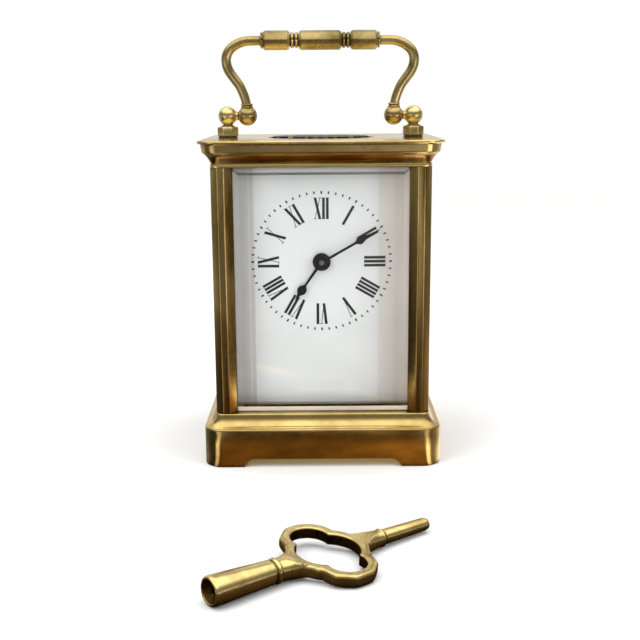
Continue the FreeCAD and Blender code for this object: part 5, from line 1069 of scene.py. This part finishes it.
def floor_paint():
    """Pale paper. What polished metal sees of it is darker straight in front and at the sides, as if the room
    beyond were dark there and lit by windows in between, and browner close to the clock."""
    n = Nodes("floor_paint")
    cloud = n.noise(1.2, 3.0, 0.5)
    paper = n.mix(cloud, colour(240, 240, 239), colour(235, 235, 234))
    parts = n.axes(n.place)
    x, y = parts["X"], parts["Y"]
    aside = n.maths("ABSOLUTE", x, 0.0)
    ahead = n.maths("SUBTRACT", -0.033, y)
    past_corner = n.maths("MAXIMUM", n.maths("SUBTRACT", aside, 0.036), 0.0005)
    close_angle = n.maths("DIVIDE", n.maths("ARCTAN2", past_corner, ahead), math.pi)
    wide_angle = n.maths("DIVIDE", n.maths("ARCTAN2", aside, ahead), math.pi)
    distance = n.add("ShaderNodeVectorMath", {0: n.place}, operation="LENGTH").outputs["Value"]
    middle = n.ramp(wide_angle, MIDDLE_SEEN)
    middle = n.mix(n.remap(aside, 0.044, 0.056), [0.07, 0.04, 0.015, 1.0], middle)
    leaving = n.maths("MAXIMUM", n.remap(ahead, 0.034, 0.05), n.remap(aside, 0.056, 0.07))
    arriving = n.remap(distance, 0.15, 0.34)
    seen = n.mix(leaving, n.ramp(close_angle, CLOSE_SEEN), middle)
    seen = n.mix(arriving, seen, n.ramp(wide_angle, FAR_SEEN))
    # How much brighter or darker it is than that in each place
    in_front = n.remap(y, -0.05, 0.0, 1.0, 0.0)
    extra_close = n.times(n.remap(x, -0.005, 0.03, 0.1, 1.25), n.without(leaving))
    extra_far = n.times(n.remap(x, -0.045, 0.05, -0.15, 0.9), arriving)
    extra_far = n.plus(extra_far, n.remap(distance, 0.5, 2.2, 0.0, 1.2))
    extra = n.times(n.plus(extra_close, extra_far), in_front)
    near = n.remap(distance, 0.2, 0.3, 1.0, 0.0)
    for beside, change in ((n.remap(x, -0.037, -0.033, 1.0, 0.0), -0.65), (n.remap(x, 0.033, 0.037), 1.0)):
        beside = n.times(beside, near)
        extra = n.plus(extra, n.times(beside, n.remap(close_angle, 0.26, 0.31, 0.0, change)))
    nearby = n.times(in_front, n.without(arriving))
    mottle = n.remap(n.noise(45.0, 4.0, 0.6), 0.3, 0.7, -0.45, 0.45)
    mottle = n.plus(1.0, n.times(mottle, nearby))
    strength = n.times(n.plus(1.0, extra), mottle)
    glow = n.add("ShaderNodeEmission", {"Color": seen, "Strength": strength}).outputs[0]
    matt = n.add("ShaderNodeBsdfDiffuse", {"Color": paper}).outputs[0]
    backdrop = n.add("ShaderNodeEmission", {"Color": paper, "Strength": 1.2}).outputs[0]
    rays = n.add("ShaderNodeLightPath").outputs
    behind = n.times(rays["Is Camera Ray"], n.remap(distance, 0.35, 1.1))
    return n.finish(n.either(behind, n.either(rays["Is Glossy Ray"], matt, glow), backdrop))


floor = placed("floor", smooth_mesh("floor", sweep()))
floor.data.materials.append(floor_paint())


def softbox(name, place, target, size, power, tint):
    """A rectangular lamp that polished metal doesn't mirror."""
    data = bpy.data.lights.new(name, "AREA")
    data.shape = "RECTANGLE"
    data.size, data.size_y = size
    data.energy = power
    data.color = tint
    lamp = placed(name, data)
    lamp.location = place
    lamp.rotation_euler = (Vector(target) - Vector(place)).to_track_quat("-Z", "Y").to_euler()
    lamp.visible_glossy = False


softbox("window_left", (-0.9, -0.7, 0.9), (0, 0, 0.06), (0.9, 0.9), 8.5, (1.0, 0.995, 0.99))
softbox("window_right", (0.9, -0.5, 0.7), (0, 0, 0.06), (0.6, 0.9), 4.5, (1.0, 0.99, 0.98))
softbox("ceiling", (0.0, 0.1, 1.3), (0, 0, 0), (1.6, 1.3), 13.0, (1.0, 1.0, 1.0))


def light_room(world):
    """Soft grey light, but white for the camera and the ROOM ramp for what metal mirrors."""
    n = Nodes("studio", world)
    height = n.axes(n.coords["Generated"])["Z"]
    tones = (n.ramp(height, ROOM), [0.62, 0.62, 0.63, 1.0], colour(255, 255, 255))
    mirrored, soft, plain = [n.add("ShaderNodeBackground", {"Color": tone}).outputs[0] for tone in tones]
    rays = n.add("ShaderNodeLightPath").outputs
    return n.finish(n.either(rays["Is Camera Ray"], n.either(rays["Is Glossy Ray"], soft, mirrored), plain))


bpy.context.scene.world = light_room(bpy.data.worlds.new("studio"))

CAMERA_PLACE, LENS, DOWN, LEAN = (-0.0007, -0.3734, 0.1242), 57.9, 12.06, -0.4
camera_data = bpy.data.cameras.new("camera")
camera_data.sensor_width = 36.0
camera_data.lens = LENS
camera_data.clip_start = 0.01
camera = placed("camera", camera_data)
camera.location = CAMERA_PLACE
facing = Matrix.Rotation(math.radians(90 - DOWN), 4, "X") @ Matrix.Rotation(math.radians(LEAN), 4, "Z")
camera.rotation_euler = facing.to_euler()
bpy.context.scene.camera = camera
bpy.context.scene.view_settings.view_transform = "Standard"
